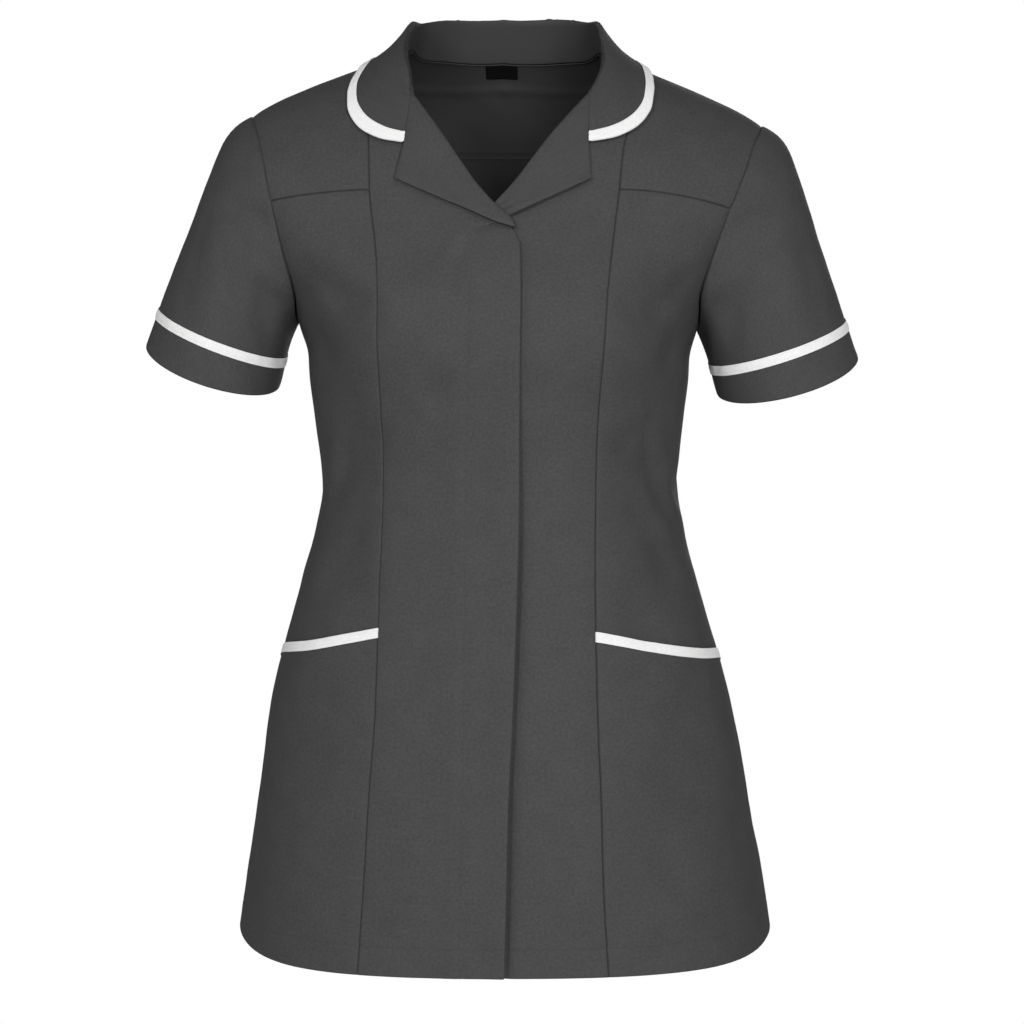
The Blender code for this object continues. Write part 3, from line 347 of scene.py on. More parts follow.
def flyEdge(side):
    heights = finer(np.array([*lines["longSeamRows"], lines["flyRow"], lapel["breakHeight"]]))
    edge = toHem(frontPlace(-side, "flyEdge", heights))
    edge[-1] = frontPlace(-side, lapel["breakAcross"], lapel["breakHeight"])
    rollHeights = np.linspace(lapel["rollHeight"][0], lapel["rollHeight"][-1], 40)
    across = cubic(lapel["rollHeight"], lapel["rollAcross"], rollHeights)
    roll = snap(even(frontPlace(side, across, rollHeights), 6 * grain["fine"]))
    roll[0] = edge[-1]
    return edge, roll, neckFront(side, roll[-1])


def neckFront(side, gorge):
    lean = size["neckLean"]
    guides = np.array([gorge, *neckline["front"], gorge])
    guides[1:3, 0] = side * guides[1:3, 0] + lean
    guides = snap(guides)
    guides[-1] = fromAbove(side * size["neckHalf"] + lean, size["shoulderSeamY"])
    return snap(even(guides, 5 * grain["fine"]))


def neckBack():
    lean, reach, seamY = size["neckLean"], size["neckHalf"], size["shoulderSeamY"]
    half = np.array([(reach, seamY, 0), *neckline["back"]])
    guides = np.concatenate([half * (-1, 1, 1), [neckline["middle"]], half[::-1]])
    guides = snap(guides + (lean, 0, 0))
    guides[0], guides[-1] = fromAbove(lean - reach, seamY), fromAbove(lean + reach, seamY)
    return snap(even(guides, 16 * grain["fine"]))


def shoulderSeam(side, start, end, count):
    return fromAbove(side * np.linspace(start, end, count * grain["fine"] + 1), size["shoulderSeamY"])


def armhole(side):
    across = np.array(armholeLine["frontAcross"] + armholeLine["backAcross"])
    heights = np.array(armholeLine["frontHeight"] + armholeLine["backHeight"])
    depth = np.array(armholeLine["frontDepth"] + armholeLine["backDepth"])
    depth[0] = size["shoulderSeamY"]
    lean = column(form, "lean", heights)
    places = snap(np.stack([side * across + lean, depth, heights + size["tilt"] * side * across], -1))
    loop = np.concatenate([places[-3:], places, places[:4]])
    way = wayAlong(loop)
    fine = snap(cubic(way, loop, np.linspace(way[3], way[3 + len(places)], 600)))
    yoke = np.argmax(fine[:, 2] < -size["yokeSideDrop"] + size["tilt"] * side * armholeLine["yokeAcross"])
    low = np.argmin(fine[:, 2])
    backYoke = low + np.argmax(fine[low:, 2] > -size["backYokeDrop"])
    marks = (0, yoke, low, backYoke, len(fine) - 1)
    stretches = zip(marks, marks[1:], armholeLine["steps"])
    return [even(fine[a:b + 1], count * grain["fine"]) for a, b, count in stretches]


def frontYokeSeam(side, start, end):
    t = np.linspace(0, 1, 5 * grain["fine"] + 1)
    line = seen(start[0] + (end[0] - start[0]) * t, start[2] + (end[2] - start[2]) * t ** 1.9, front)
    line[0], line[-1] = start, end
    return line


def backYokeSeam(start, end, count):
    t = np.linspace(0, 1, count + 1)
    line = seen(start[0] + (end[0] - start[0]) * t, start[2] + (end[2] - start[2]) * t, back)
    line[0], line[-1] = start, end
    return line


def patch(bottom, top, start, end):
    v = np.linspace(0, 1, len(start))[:, None, None]
    u = wayAlong(bottom) / wayAlong(bottom)[-1]
    uTop = wayAlong(top) / wayAlong(top)[-1]
    u = ((1 - v[..., 0]) * u + v[..., 0] * uTop)[..., None]
    ruled = (1 - v) * bottom[None] + v * top[None]
    across = (1 - u) * start[:, None] + u * end[:, None]
    corners = ((1 - u) * (1 - v) * bottom[0] + u * (1 - v) * bottom[-1]
               + (1 - u) * v * top[0] + u * v * top[-1])
    grid = ruled + across - corners
    grid[1:-1, 1:-1] = snap(grid[1:-1, 1:-1], rounds=4)
    return grid


# materials

class Maths:
    # a shader number that adds and multiplies like any other
    def __init__(self, tree, socket):
        self.tree, self.socket = tree, socket

    def join(self, operation, other=None, swap=False):
        node = self.tree.nodes.new("ShaderNodeMath")
        node.operation = operation
        for place, end in zip(node.inputs, (other, self) if swap else (self, other)):
            if isinstance(end, Maths):
                self.tree.links.new(end.socket, place)
            elif end is not None:
                place.default_value = end
        return Maths(self.tree, node.outputs[0])

    def __add__(self, other):
        return self.join("ADD", other)

    def __sub__(self, other):
        return self.join("SUBTRACT", other)

    def __rsub__(self, other):
        return self.join("SUBTRACT", other, swap=True)

    def __mul__(self, other):
        return self.join("MULTIPLY", other)

    __radd__, __rmul__ = __add__, __mul__

    def wave(self):
        return self.join("SINE")


class Nodes:
    # a node tree that is filled here
    def __init__(self, tree):
        self.tree = tree

    def add(self, kind, settings=None, **inputs):
        node = self.tree.nodes.new(kind)
        for name, value in (settings or {}).items():
            setattr(node, name, value)
        for name, value in inputs.items():
            self.feed(node.inputs[name.replace("_", " ")], value)
        return node

    def feed(self, place, value):
        if isinstance(value, Maths):
            value = value.socket
        if isinstance(value, bpy.types.NodeSocket):
            self.tree.links.new(value, place)
        else:
            place.default_value = value


class Look(Nodes):
    # a material and its nodes
    def __init__(self, name):
        self.material = bpy.data.materials.new(name)
        self.material.use_nodes = True
        super().__init__(self.material.node_tree)
        self.surface = self.tree.nodes["Principled BSDF"]

    def noise(self, place, scale, detail=2.0, rough=0.5):
        node = self.add("ShaderNodeTexNoise", Vector=place, Scale=scale, Detail=detail, Roughness=rough)
        return Maths(self.tree, node.outputs["Fac"])

    def shades(self, share, dark, light):
        node = self.add("ShaderNodeMix", {"data_type": "RGBA"})
        self.feed(node.inputs["Factor"], share)
        self.feed(node.inputs[6], dark)
        self.feed(node.inputs[7], light)
        return node.outputs[2]


clothLook = {
    "charcoal": {"dark": (0.032, 0.032, 0.033), "light": (0.064, 0.064, 0.065), "threads": 1700,
                 "depth": 0.00007, "roughness": 0.66, "sheen": 0.0, "sheenRoughness": 0.5, "specular": 0.22},
    "white": {"dark": (0.70, 0.70, 0.697), "light": (0.86, 0.86, 0.856), "threads": 1500,
              "depth": 0.00007, "roughness": 0.72, "sheen": 0.10, "sheenRoughness": 0.5, "specular": 0.3},
    "black": {"dark": (0.003, 0.003, 0.0033), "light": (0.006, 0.006, 0.0065), "threads": 2600,
              "depth": 0.00003, "roughness": 0.70, "sheen": 0.0, "sheenRoughness": 0.5, "specular": 0.08},
    "darkThread": {"dark": (0.032, 0.032, 0.033), "light": (0.062, 0.062, 0.064), "threads": 0,
                   "roughness": 0.55, "sheen": 0.1, "sheenRoughness": 0.4, "specular": 0.3},
    "whiteThread": {"dark": (0.78, 0.78, 0.775), "light": (0.93, 0.93, 0.92), "threads": 0,
                    "roughness": 0.50, "sheen": 0.1, "sheenRoughness": 0.4, "specular": 0.3},
}
weave = {                   # how fine each pattern is, and how much it counts
    "yarns": 420.0, "yarnShare": 1.4, "yarnBump": 1.2, "broad": 36.0, "broadShare": 0.55, "shadeDrop": 0.475,
    "roughnessRange": 0.12, "wander": 90.0, "wanderBy": 0.8, "threadBump": 0.5,
}


def clothMaterial(name):
    facts = clothLook[name]
    look = Look(name)
    if facts["threads"]:
        place = look.add("ShaderNodeUVMap", {"uv_map": "weave"}).outputs["UV"]
    else:
        place = look.add("ShaderNodeTexCoord").outputs["Object"]
    surface = look.surface
    yarns = look.noise(place, weave["yarns"], 3.0, 0.7)
    broad = look.noise(place, weave["broad"], 3.0, 0.6)
    share = yarns * weave["yarnShare"] + broad * weave["broadShare"] - weave["shadeDrop"]
    outside = look.shades(share, (*facts["dark"], 1), (*facts["light"], 1))
    # painted shade: where the attribute read here is 1, the colour becomes the cloth's dark shade, standing
    # in for shade on inner faces and inside the collar stand
    paintedShade = look.add("ShaderNodeAttribute", {"attribute_name": "paintedShade"}).outputs["Fac"]
    look.feed(surface.inputs["Base Color"], look.shades(paintedShade, outside, (*facts["dark"], 1)))
    spread = weave["roughnessRange"]
    look.feed(surface.inputs["Roughness"], broad * spread + (facts["roughness"] - spread / 2))
    surface.inputs["Sheen Weight"].default_value = facts["sheen"]
    surface.inputs["Sheen Roughness"].default_value = facts["sheenRoughness"]
    surface.inputs["Specular IOR Level"].default_value = facts["specular"]
    if facts["threads"]:
        parts = look.add("ShaderNodeSeparateXYZ", Vector=place).outputs
        warp, weft = Maths(look.tree, parts["X"]), Maths(look.tree, parts["Y"])
        wander = look.noise(place, weave["wander"], 2.0) * weave["wanderBy"]
        turns = math.pi * facts["threads"]
        over = (warp * turns + wander).wave() * (weft * turns + wander).wave()
        height = over * weave["threadBump"] + yarns * weave["yarnBump"]
        bump = look.add("ShaderNodeBump", Height=height, Distance=facts["depth"])
        look.feed(surface.inputs["Normal"], bump.outputs["Normal"])
    return look.material


cloths = {name: clothMaterial(name) for name in clothLook}
print("materials made")


# cloth made of a grid of points

edges = {                   # how cloth runs at each kind of border, by distance from it
    "seam": {"rows": (0, 0.0004, 0.0008, 0.0013, 0.0021, 0.0032, 0.0050), "dip": 0.0011, "reach": 0.0006,
             "soft": 0.00035, "softReach": 0.0042, "pucker": 0.00016, "stitch": None},
    "hem": {"rows": (0, 0.0005, 0.0013, 0.0030, 0.0070, 0.0120, 0.0165, 0.0190, 0.0201, 0.0210, 0.0219,
                     0.0230, 0.0255), "dip": 0.0002, "reach": 0.0007,
            "soft": 0.0, "softReach": 0.003, "pucker": 0.0, "stitch": 0.0210},
    "fold": {"rows": (0, 0.0004, 0.0010, 0.0020, 0.0040), "dip": 0.00025, "reach": 0.0006,
             "soft": 0.0, "softReach": 0.003, "pucker": 0.00008, "stitch": None},
    "topstitched": {"rows": (0, 0.0005, 0.0011, 0.0020, 0.0034, 0.0044, 0.0051, 0.0058, 0.0068),
                    "dip": 0.0012, "reach": 0.0009, "soft": -0.00015, "softReach": 0.005,
                    "pucker": 0.00012, "stitch": 0.0051},
}
stitchDip = {"depth": 0.00032, "reach": 0.0009, "pucker": 0.00020, "puckerReach": 0.0060, "wave": 0.009}
seamPucker = {"start": 0.0012, "reach": 0.007}
wall = {"cloth": 0.0009, "collar": 0.0014, "tape": 0.0006, "laid": 0.0003, "bulge": 0.4}


def respaced(grid, low, high):
    # rows at set distances from both borders, and even steps between them
    low, high = np.array(edges[low]["rows"]), np.array(edges[high]["rows"])
    ways = wayAlong(grid)
    total = ways[-1]
    scale = np.minimum(1, total * 0.48 / (low[-1] + high[-1]))
    rest = total - (low[-1] + high[-1]) * scale
    count = max(2, int(round(rest.mean() / grain["cell"])))
    shares = np.linspace(0, 1, count + 1)[1:-1]
    places = np.concatenate([low[:, None] * scale, low[-1] * scale + rest * shares[:, None],
                             total - high[::-1, None] * scale])
    return alongColumns(grid, places)


def alongColumns(grid, places):
    # the points of each column at given distances along it
    ways = wayAlong(grid)
    result = np.empty((len(places), grid.shape[1], 3))
    for j in range(grid.shape[1]):
        for k in range(3):
            result[:, j, k] = np.interp(places[:, j], ways[:, j], grid[:, j, k])
    return result


def borders(grid):
    # distance of each point from the low, high, start and end borders
    up, across = wayAlong(grid), wayAcross(grid)
    return {"low": up, "high": up[-1] - up, "start": across, "end": across[:, -1:] - across}


def borderLift(far, along, kind, seed):
    edge = edges[kind]
    lift = -edge["dip"] * bell(far, edge["reach"]) - edge["soft"] * bell(far, edge["softReach"])
    wave = bell(far, seamPucker["reach"]) * (1 - bell(far, seamPucker["start"]))
    lift = lift + edge["pucker"] * ripple(along, seed) * wave
    if edge["stitch"]:
        lift = lift + stitchLift(far - edge["stitch"], along, seed)
    return lift


def stitchLift(far, along, seed):
    wave = ripple(along, seed + 7, stitchDip["wave"]) * bell(far, stitchDip["puckerReach"])
    return stitchDip["pucker"] * wave - stitchDip["depth"] * bell(far, stitchDip["reach"])


def gridNormals(grid, closed=False):
    if closed:
        wrapped = np.concatenate([grid[:, -1:], grid, grid[:, :1]], 1)
        across = np.gradient(wrapped, axis=1)[:, 1:-1]
    else:
        across = np.gradient(grid, axis=1)
    return unit(np.cross(across, np.gradient(grid, axis=0)))


creases = {                 # three places on each, then its width and height
    # a place is a turn in degrees (0 front, 90 the left side, 180 back) and a height
    "leftWaist": (54, -0.305, 65, -0.345, 75, -0.395, 0.0080, -0.0019),
    "leftWaistRidge": (60, -0.303, 70, -0.338, 77, -0.372, 0.0070, 0.0013),
    "leftWaistLow": (47, -0.362, 62, -0.398, 72, -0.440, 0.0090, -0.0014),
    "leftWaistFlat": (44, -0.405, 56, -0.440, 66, -0.470, 0.0120, 0.0010),
    "rightWaist": (-55, -0.300, -66, -0.338, -75, -0.376, 0.0085, -0.0018),
    "rightWaistRidge": (-62, -0.306, -71, -0.334, -77, -0.352, 0.0065, 0.0012),
    "rightWaistLow": (-49, -0.370, -60, -0.402, -67, -0.446, 0.0090, -0.0013),
    "rightWaistFlat": (-42, -0.412, -52, -0.442, -60, -0.478, 0.0120, 0.0010),
    "leftArm": (62, -0.185, 55, -0.205, 44, -0.219, 0.0080, -0.0020),
    "leftArmLow": (72, -0.222, 62, -0.243, 52, -0.272, 0.0085, -0.0018),
    "rightArm": (-62, -0.180, -54, -0.197, -41, -0.208, 0.0080, -0.0019),
    "rightArmLow": (-73, -0.220, -64, -0.240, -54, -0.266, 0.0090, -0.0019),
    "underBust": (-26, -0.262, -20, -0.290, -17, -0.330, 0.0120, -0.0010),
    "underBustLeft": (30, -0.275, 26, -0.305, 24, -0.340, 0.0130, -0.0009),
    "flyTop": (-13, -0.158, -16, -0.168, -17.5, -0.196, 0.0046, -0.0017),
    "flyTopRidge": (-17, -0.158, -20, -0.172, -20.5, -0.198, 0.0048, 0.0010),
    "skirtRight": (-28, -0.712, -26, -0.640, -24, -0.570, 0.0160, 0.0020),
    "skirtMiddle": (24, -0.714, 21, -0.650, 20, -0.590, 0.0170, 0.0017),
    "skirtLeft": (44, -0.700, 46, -0.610, 50, -0.540, 0.0180, -0.0016),
    "pocketRight": (-66, -0.545, -57, -0.560, -48, -0.556, 0.0140, -0.0015),
    "pocketLeft": (62, -0.505, 56, -0.560, 54, -0.620, 0.0150, -0.0014),
    "backWaistA": (196, -0.322, 206, -0.334, 222, -0.334, 0.0080, -0.0018),
    "backWaistB": (150, -0.328, 160, -0.340, 173, -0.341, 0.0075, -0.0016),
    "backWaistC": (186, -0.362, 200, -0.370, 216, -0.362, 0.0090, -0.0015),
    "backWaistD": (142, -0.368, 156, -0.377, 168, -0.380, 0.0080, -0.0014),
    "backArmRight": (238, -0.165, 228, -0.190, 214, -0.205, 0.0080, -0.0015),
    "backArmLeft": (122, -0.165, 132, -0.192, 147, -0.210, 0.0080, -0.0014),
    "backShoulder": (148, -0.110, 160, -0.160, 165, -0.215, 0.0130, -0.0010),
    "backSkirtA": (158, -0.705, 161, -0.600, 166, -0.500, 0.0190, -0.0018),
    "backSkirtB": (206, -0.705, 203, -0.610, 199, -0.520, 0.0180, -0.0016),
    "sideLeft": (104, -0.330, 111, -0.345, 120, -0.345, 0.0070, -0.0014),
    "sideRight": (256, -0.326, 249, -0.342, 240, -0.348, 0.0070, -0.0014),
}

shaping = {                 # broad rises and hollows, and how far they reach
    "bustLeft": {"turn": 37, "height": -0.232, "across": 0.045, "up": 0.045, "lift": 0.0035},
    "bustRight": {"turn": -37, "height": -0.230, "across": 0.045, "up": 0.045, "lift": 0.0035},
    "waistLeft": {"turn": 55, "height": -0.365, "across": 0.034, "up": 0.075, "lift": -0.0050},
    "waistRight": {"turn": -55, "height": -0.360, "across": 0.034, "up": 0.075, "lift": -0.0050},
    "armLeft": {"turn": 67, "height": -0.262, "across": 0.030, "up": 0.045, "lift": -0.0025},
    "armRight": {"turn": -67, "height": -0.258, "across": 0.030, "up": 0.045, "lift": -0.0025},
}


def apartRound(points, angle):
    # how far round the body from an angle in degrees
    turn = np.degrees(np.arctan2(points[..., 0], -points[..., 1]))
    return ((turn - angle + 180) % 360 - 180) * (np.hypot(points[..., 0], points[..., 1]) * np.pi / 180)


def shapingLift(points):
    total = np.zeros(points.shape[:-1])
    for blob in shaping.values():
        across = apartRound(points, blob["turn"]) / blob["across"]
        total += blob["lift"] * np.exp(-(across ** 2 + ((points[..., 2] - blob["height"]) / blob["up"]) ** 2))
    return total


unevenness = {              # faint, of cloth that hangs free: height, and two waves by x, y, z and shift
    "broad": (0.00022, (41, 3, 17, 0), (0, -31, 23, 1.3)),
    "middle": (0.00014, (0, 60, 97, 2), (83, 0, -47, 0)),
    "fine": (0.00010, (171, 0, 90, 0), (0, 140, -120, 1)),
}


def clothNoise(points):
    total = np.zeros(points.shape[:-1])
    for height, one, other in unevenness.values():
        total += height * np.prod([np.sin(points @ wave[:3] + wave[3]) for wave in (one, other)], axis=0)
    return total


def distanceTo(line, points):
    nearest = np.full(points.shape[:-1], 9.0)
    for place in even(line, 60):
        nearest = np.minimum(nearest, np.linalg.norm(points - place, axis=-1))
    return nearest


creaseShape = {
    "middle": 0.45, "spread": 0.42, "uneven": 0.25, "waves": 9, "widen": 0.5, "rim": 0.35, "rimAt": 1.9,
}


def creaseLift(points):
    total = np.zeros(points.shape[:-1])
    for number, (*line, width, height) in enumerate(creases.values()):
        bend = even([(angle, z * 100, 0) for angle, z in zip(line[::2], line[1::2])], 10)
        nearest, share = np.full(total.shape, 9.0), np.zeros(total.shape)
        for k, (angle, z, flat) in enumerate(bend):
            far = np.hypot(apartRound(points, angle), points[..., 2] - z / 100)
            share = np.where(far < nearest, k / 10, share)
            nearest = np.minimum(far, nearest)
        uneven = 1 + creaseShape["uneven"] * np.sin(share * creaseShape["waves"] + number)
        fade = bell(share - creaseShape["middle"], creaseShape["spread"]) * uneven
        wide = width * (1 + creaseShape["widen"] * share)
        rim = creaseShape["rim"] * bell(nearest - creaseShape["rimAt"] * wide, wide)
        total += height * fade * (bell(nearest, wide) - rim)
    return total


def rimLoops(values, closed):
    # each open border as a loop that ends where it began, the cloth on its left
    if closed:
        return [values[0], values[-1, ::-1]]
    return [np.concatenate([values[0, :-1], values[:-1, -1], values[-1, :0:-1], values[::-1, 0]])]


def quadsOf(values):
    corners = (values[:-1, :-1], values[:-1, 1:], values[1:, 1:], values[1:, :-1])
    return np.stack([corner.reshape(-1, *values.shape[2:]) for corner in corners], 1)


def makeShell(name, outer, cloth, material, closed=False, paintedShade=None):
    # a closed wall with round rims; uv is in metres along the grain, and the inner face gets painted shade,
    # the cloth's dark shade standing in for the shade inside the garment
    normals = gridNormals(outer, closed)
    inner = outer - normals * cloth
    rows, columns = outer.shape[:2]
    count = rows * columns
    number = np.arange(count).reshape(rows, columns)
    ringed = outer
    if closed:
        number = np.concatenate([number, number[:, :1]], 1)
        ringed = np.concatenate([outer, outer[:, :1]], 1)
    across = wayAcross(ringed)
    uv = np.stack([across - across[:, across.shape[1] // 2][:, None], wayAlong(ringed)], -1)
    quads, places = quadsOf(number), quadsOf(uv)
    faces, coordinates = [quads, quads[:, ::-1] + count], [places, places[:, ::-1]]
    points = [outer.reshape(-1, 3), inner.reshape(-1, 3)]
    for ids, place in zip(rimLoops(number, closed), rimLoops(uv, closed)):
        a, b = points[0][ids[:-1]], points[1][ids[:-1]]
        along = np.roll(a, -1, 0) - np.roll(a, 1, 0)
        out = unit(np.cross(along, normals.reshape(-1, 3)[ids[:-1]])) * cloth * wall["bulge"]
        ladder = [ids]
        for share in (0.25, 0.75):
            start = sum(len(part) for part in points)
            points.append(a * (1 - share) + b * share + out)
            ladder.append(np.append(np.arange(start, start + len(a)), start))
        ladder.append(ids + count)
        for upper, lower in zip(ladder, ladder[1:]):
            faces.append(np.stack([upper[:-1], lower[:-1], lower[1:], upper[1:]], 1))
            coordinates.append(np.stack([place[:-1], place[:-1], place[1:], place[1:]], 1))
    # painted shade: 1 on the inner face, and the given share on the outer face
    paintedShadeShare = np.zeros(sum(len(part) for part in points))
    paintedShadeShare[:count] = 0 if paintedShade is None else paintedShade.ravel()
    paintedShadeShare[count:2 * count] = 1
    plainMesh(name, *(np.concatenate(part) for part in (points, faces, coordinates)), paintedShadeShare, material)


def plainMesh(name, points, faces, coordinates, paintedShadeShare, material):
    mesh = bpy.data.meshes.new("cloth_" + name)
    mesh.vertices.add(len(points))
    mesh.vertices.foreach_set("co", points.astype(np.float32).ravel())
    mesh.loops.add(faces.size)
    mesh.polygons.add(len(faces))
    mesh.loops.foreach_set("vertex_index", faces.astype(np.int32).ravel())
    mesh.polygons.foreach_set("loop_start", np.arange(0, faces.size, 4, dtype=np.int32))
    mesh.uv_layers.new(name="weave").data.foreach_set("uv", coordinates.astype(np.float32).ravel())
    mesh.attributes.new("paintedShade", "FLOAT", "POINT").data.foreach_set("value", paintedShadeShare.astype(np.float32))
    mesh.update()
    mesh.validate()
    mesh.materials.append(material)
    mesh.shade_smooth()
    piece = bpy.data.objects.new(mesh.name, mesh)
    bpy.context.collection.objects.link(piece)
    made[name]["piece"] = piece


made = {}
laidEdges = []              # edges that lie on the panels, which hollow a little below them
hollow = {"depth": 0.0016, "reach": 0.0026}


def panel(name, grid, kinds, lift=0.0, seed=0, extra=None):
    # kinds: the border at the low, high, start and end of the grid
    normals = outward(grid)
    if (gridNormals(grid) * normals).sum(-1).mean() < 0:
        grid = grid[:, ::-1]
        kinds = (kinds[0], kinds[1], kinds[3], kinds[2])
    grid = respaced(grid, kinds[0], kinds[1])
    grid = turned(respaced(turned(grid), kinds[2], kinds[3]))
    edge = grid.copy()
    grid = snap(grid, rounds=3)
    for border in ((0, slice(None)), (-1, slice(None)), (slice(None), 0), (slice(None), -1)):
        grid[border] = edge[border]
    normals = outward(grid)
    far = borders(grid)
    raised = lift(grid) if callable(lift) else lift
    raised = raised + shapingLift(grid) + creaseLift(grid) + clothNoise(grid)
    for number, (border, kind) in enumerate(zip(("low", "high", "start", "end"), kinds)):
        along = far["start"] if border in ("low", "high") else far["low"]
        raised = raised + borderLift(far[border], along, kind, seed * 10 + number)
    for line in laidEdges:
        raised = raised - hollow["depth"] * bell(distanceTo(line, grid), hollow["reach"])
    if extra:
        raised = raised + extra(grid, far)
    outer = grid + normals * raised[..., None]
    made[name] = {"outer": outer, "far": far, "normals": normals, "grid": grid}
    makeShell(name, outer, wall["cloth"], cloths["charcoal"])


def levelLine(name, values, level):
    # the line on a panel where the values pass a level, a point in each row
    outer, normals = made[name]["outer"], made[name]["normals"]
    line, ups = [], []
    for row, up, value in zip(outer, normals, values):
        order = np.argsort(value)
        if value.min() < level < value.max():
            line.append([np.interp(level, value[order], row[order, k]) for k in range(3)])
            ups.append([np.interp(level, value[order], up[order, k]) for k in range(3)])
    return np.array(line), unit(np.array(ups))


# sleeves

sleeve = {                  # by height of the armhole's edge: how the sleeve leaves it
    "height": (-0.2200, -0.1900, -0.1500, -0.1000, -0.0600),
    "follow": (0.0, 0.10, 0.45, 0.85, 1.0),
    "out": (0.62, 0.80, 0.90, 0.92, 0.92),
    "down": (-0.78, -0.60, -0.42, -0.38, -0.38),
    "forward": 0.10, "start": 0.25, "end": 0.33, "tuck": 0.0012, "tuckDepth": 0.0007, "rings": 90,
}
cuff = {
    "middle": (0.2302, 0.004, -0.2528), "lean": -0.0008, "underLean": -0.0030,
    "out": (0.0550, 0.0, 0.0160), "front": (0.0, -0.056, -0.019), "back": (0.0, 0.058, 0.012),
    "direction": (0.35, 0.0, -0.93),
    "band": 0.0278, "bandOutside": 0.0030, "bandFront": 0.0075, "tape": 0.0074,
    "tapeRows": (0, 0.0006, 0.0012, 0.0018, 0.0030, 0.0044, 0.0056, 0.0062, 0.0068, 0.0074),
    "dip": 0.00025, "dipReach": 0.0016,
}
sleeveFolds = {             # by turn round the sleeve (0 top, pi under) and share of the way down
    "turn": (2.25, 1.30, 4.10, 5.00, 3.50, 0.0, 0.0),
    "width": (0.30, 0.34, 0.30, 0.36, 0.26, 0.75, 0.80),
    "middle": (0.42, 0.62, 0.40, 0.58, 0.70, 0.15, 0.52),
    "spread": (0.26, 0.24, 0.28, 0.22, 0.20, 0.12, 0.20),
    "height": (-0.0040, 0.0022, -0.0038, 0.0020, -0.0024, 0.0050, -0.0024),
}
sleeveCreases = {           # the same, with how fast each one turns on its way down
    "turn": (1.45, 1.95, 0.85, 2.45, 2.70, 0.45, 4.83, 4.33, 5.35, 3.80, 5.85),
    "slant": (-2.2, -1.9, 0.25, -0.9, 0.4, 0.3, 2.2, 1.9, -0.3, 0.8, -0.2),
    "middle": (0.20, 0.30, 0.55, 0.22, 0.62, 0.75, 0.21, 0.32, 0.52, 0.24, 0.72),
    "spread": (0.16, 0.18, 0.20, 0.14, 0.16, 0.15, 0.17, 0.18, 0.20, 0.15, 0.16),
    "width": (0.17, 0.20, 0.16, 0.14, 0.13, 0.17, 0.17, 0.20, 0.16, 0.14, 0.17),
    "height": (-0.0034, 0.0022, -0.0009, -0.0020, -0.0012, -0.0007, -0.0032, 0.0020, -0.0009, -0.0018,
               -0.0006),
}


def tableOn(table, angle, t, slantName=None):
    total = np.zeros(np.broadcast_shapes(angle.shape, t.shape))
    slants = table[slantName] if slantName else [0.4] * len(table["turn"])
    rows = zip(table["turn"], slants, table["middle"], table["spread"], table["width"], table["height"])
    for turn, slant, middle, spread, width, height in rows:
        apart = (angle - turn - slant * (t - middle) + np.pi) % (2 * np.pi) - np.pi
        total = total + height * bell(apart, width) * bell(t - middle, spread)
    return total


def sleeveRows(side):
    # rings from the armhole to the hem, and the rows where the tape starts and ends
    edge = np.concatenate([stretch[:-1] for stretch in armhole(side)])
    normal = outward(edge)
    run = unit(np.roll(edge, -1, 0) - np.roll(edge, 1, 0))
    along = unit(np.cross(run, normal))
    along *= np.sign(along[0, 0]) * side
    follow, out, down = (column(sleeve, name, edge[:, 2])[:, None] for name in ("follow", "out", "down"))
    forward = sleeve["forward"] * np.sign(edge[:, 1:2])
    own = unit(out * (side, 0, 0) + down * (0, 0, 1) + forward * (0, 1, 0) * follow)
    startDirection = unit(follow * along + (1 - follow) * own)
    low = np.argmin(edge[:, 2])
    way = wayAlong(np.concatenate([edge, edge[:1]]))
    angle = np.interp(way[:-1], (0, way[low], way[-1]), (0, np.pi, 2 * np.pi))[:, None]
    flip = np.array((side, 1, 1))
    tiltSide = np.where(np.sin(angle) > 0, cuff["front"], cuff["back"])
    hem = (np.array(cuff["middle"]) * flip + (cuff["lean"], 0, 0)
           + np.array(cuff["out"]) * flip * np.cos(angle) + tiltSide * np.abs(np.sin(angle)))
    hem[:, 0:1] += cuff["underLean"] * (1 - np.cos(angle)) / 2
    hem[:, 2] += size["tilt"] * hem[:, 0]
    endDirection = unit(np.array(cuff["direction"]) * flip + 0 * hem)
    start = edge - startDirection * sleeve["tuck"]
    reach = np.linalg.norm(hem - start, axis=-1, keepdims=True)
    first = start + startDirection * reach * sleeve["start"]
    second = hem - endDirection * reach * sleeve["end"]
    t = np.linspace(0, 1, sleeve["rings"])[:, None, None]
    u = 1 - t
    curve = u ** 3 * start + 3 * t * u ** 2 * first + 3 * t * t * u * second + t ** 3 * hem
    angle, t = angle[:, 0], t[..., 0]
    band = cuff["band"] + cuff["bandOutside"] * np.cos(angle) + cuff["bandFront"] * np.abs(np.sin(angle))
    bulge = tableOn(sleeveFolds, angle, t) + tableOn(sleeveCreases, angle, t, "slant")
    curve = curve + unit(curve - curve.mean(1, keepdims=True)) * bulge[..., None]
    length = wayAlong(curve)[-1]
    high = np.append(0, np.array(edges["seam"]["rows"]) + sleeve["tuck"])[:, None]
    low = np.array(edges["fold"]["rows"])[::-1, None]
    rest = length - band - high[-1]
    count = int(round(rest.mean() / grain["cell"]))
    steps = high[-1] + rest * np.linspace(0, 1, count + 1)[1:-1, None]
    tape = length - band + np.array(cuff["tapeRows"])[:, None]
    below = band - cuff["tape"] - low[0]
    count = max(3, int(round(below.mean() / grain["cell"])))
    lastSteps = tape[-1] + below * np.linspace(0, 1, count)[1:-1, None]
    places = np.concatenate([high + 0 * length, steps, tape, lastSteps, length - low])
    first = len(high) + len(steps)
    return alongColumns(curve, places), first, first + len(tape) - 1


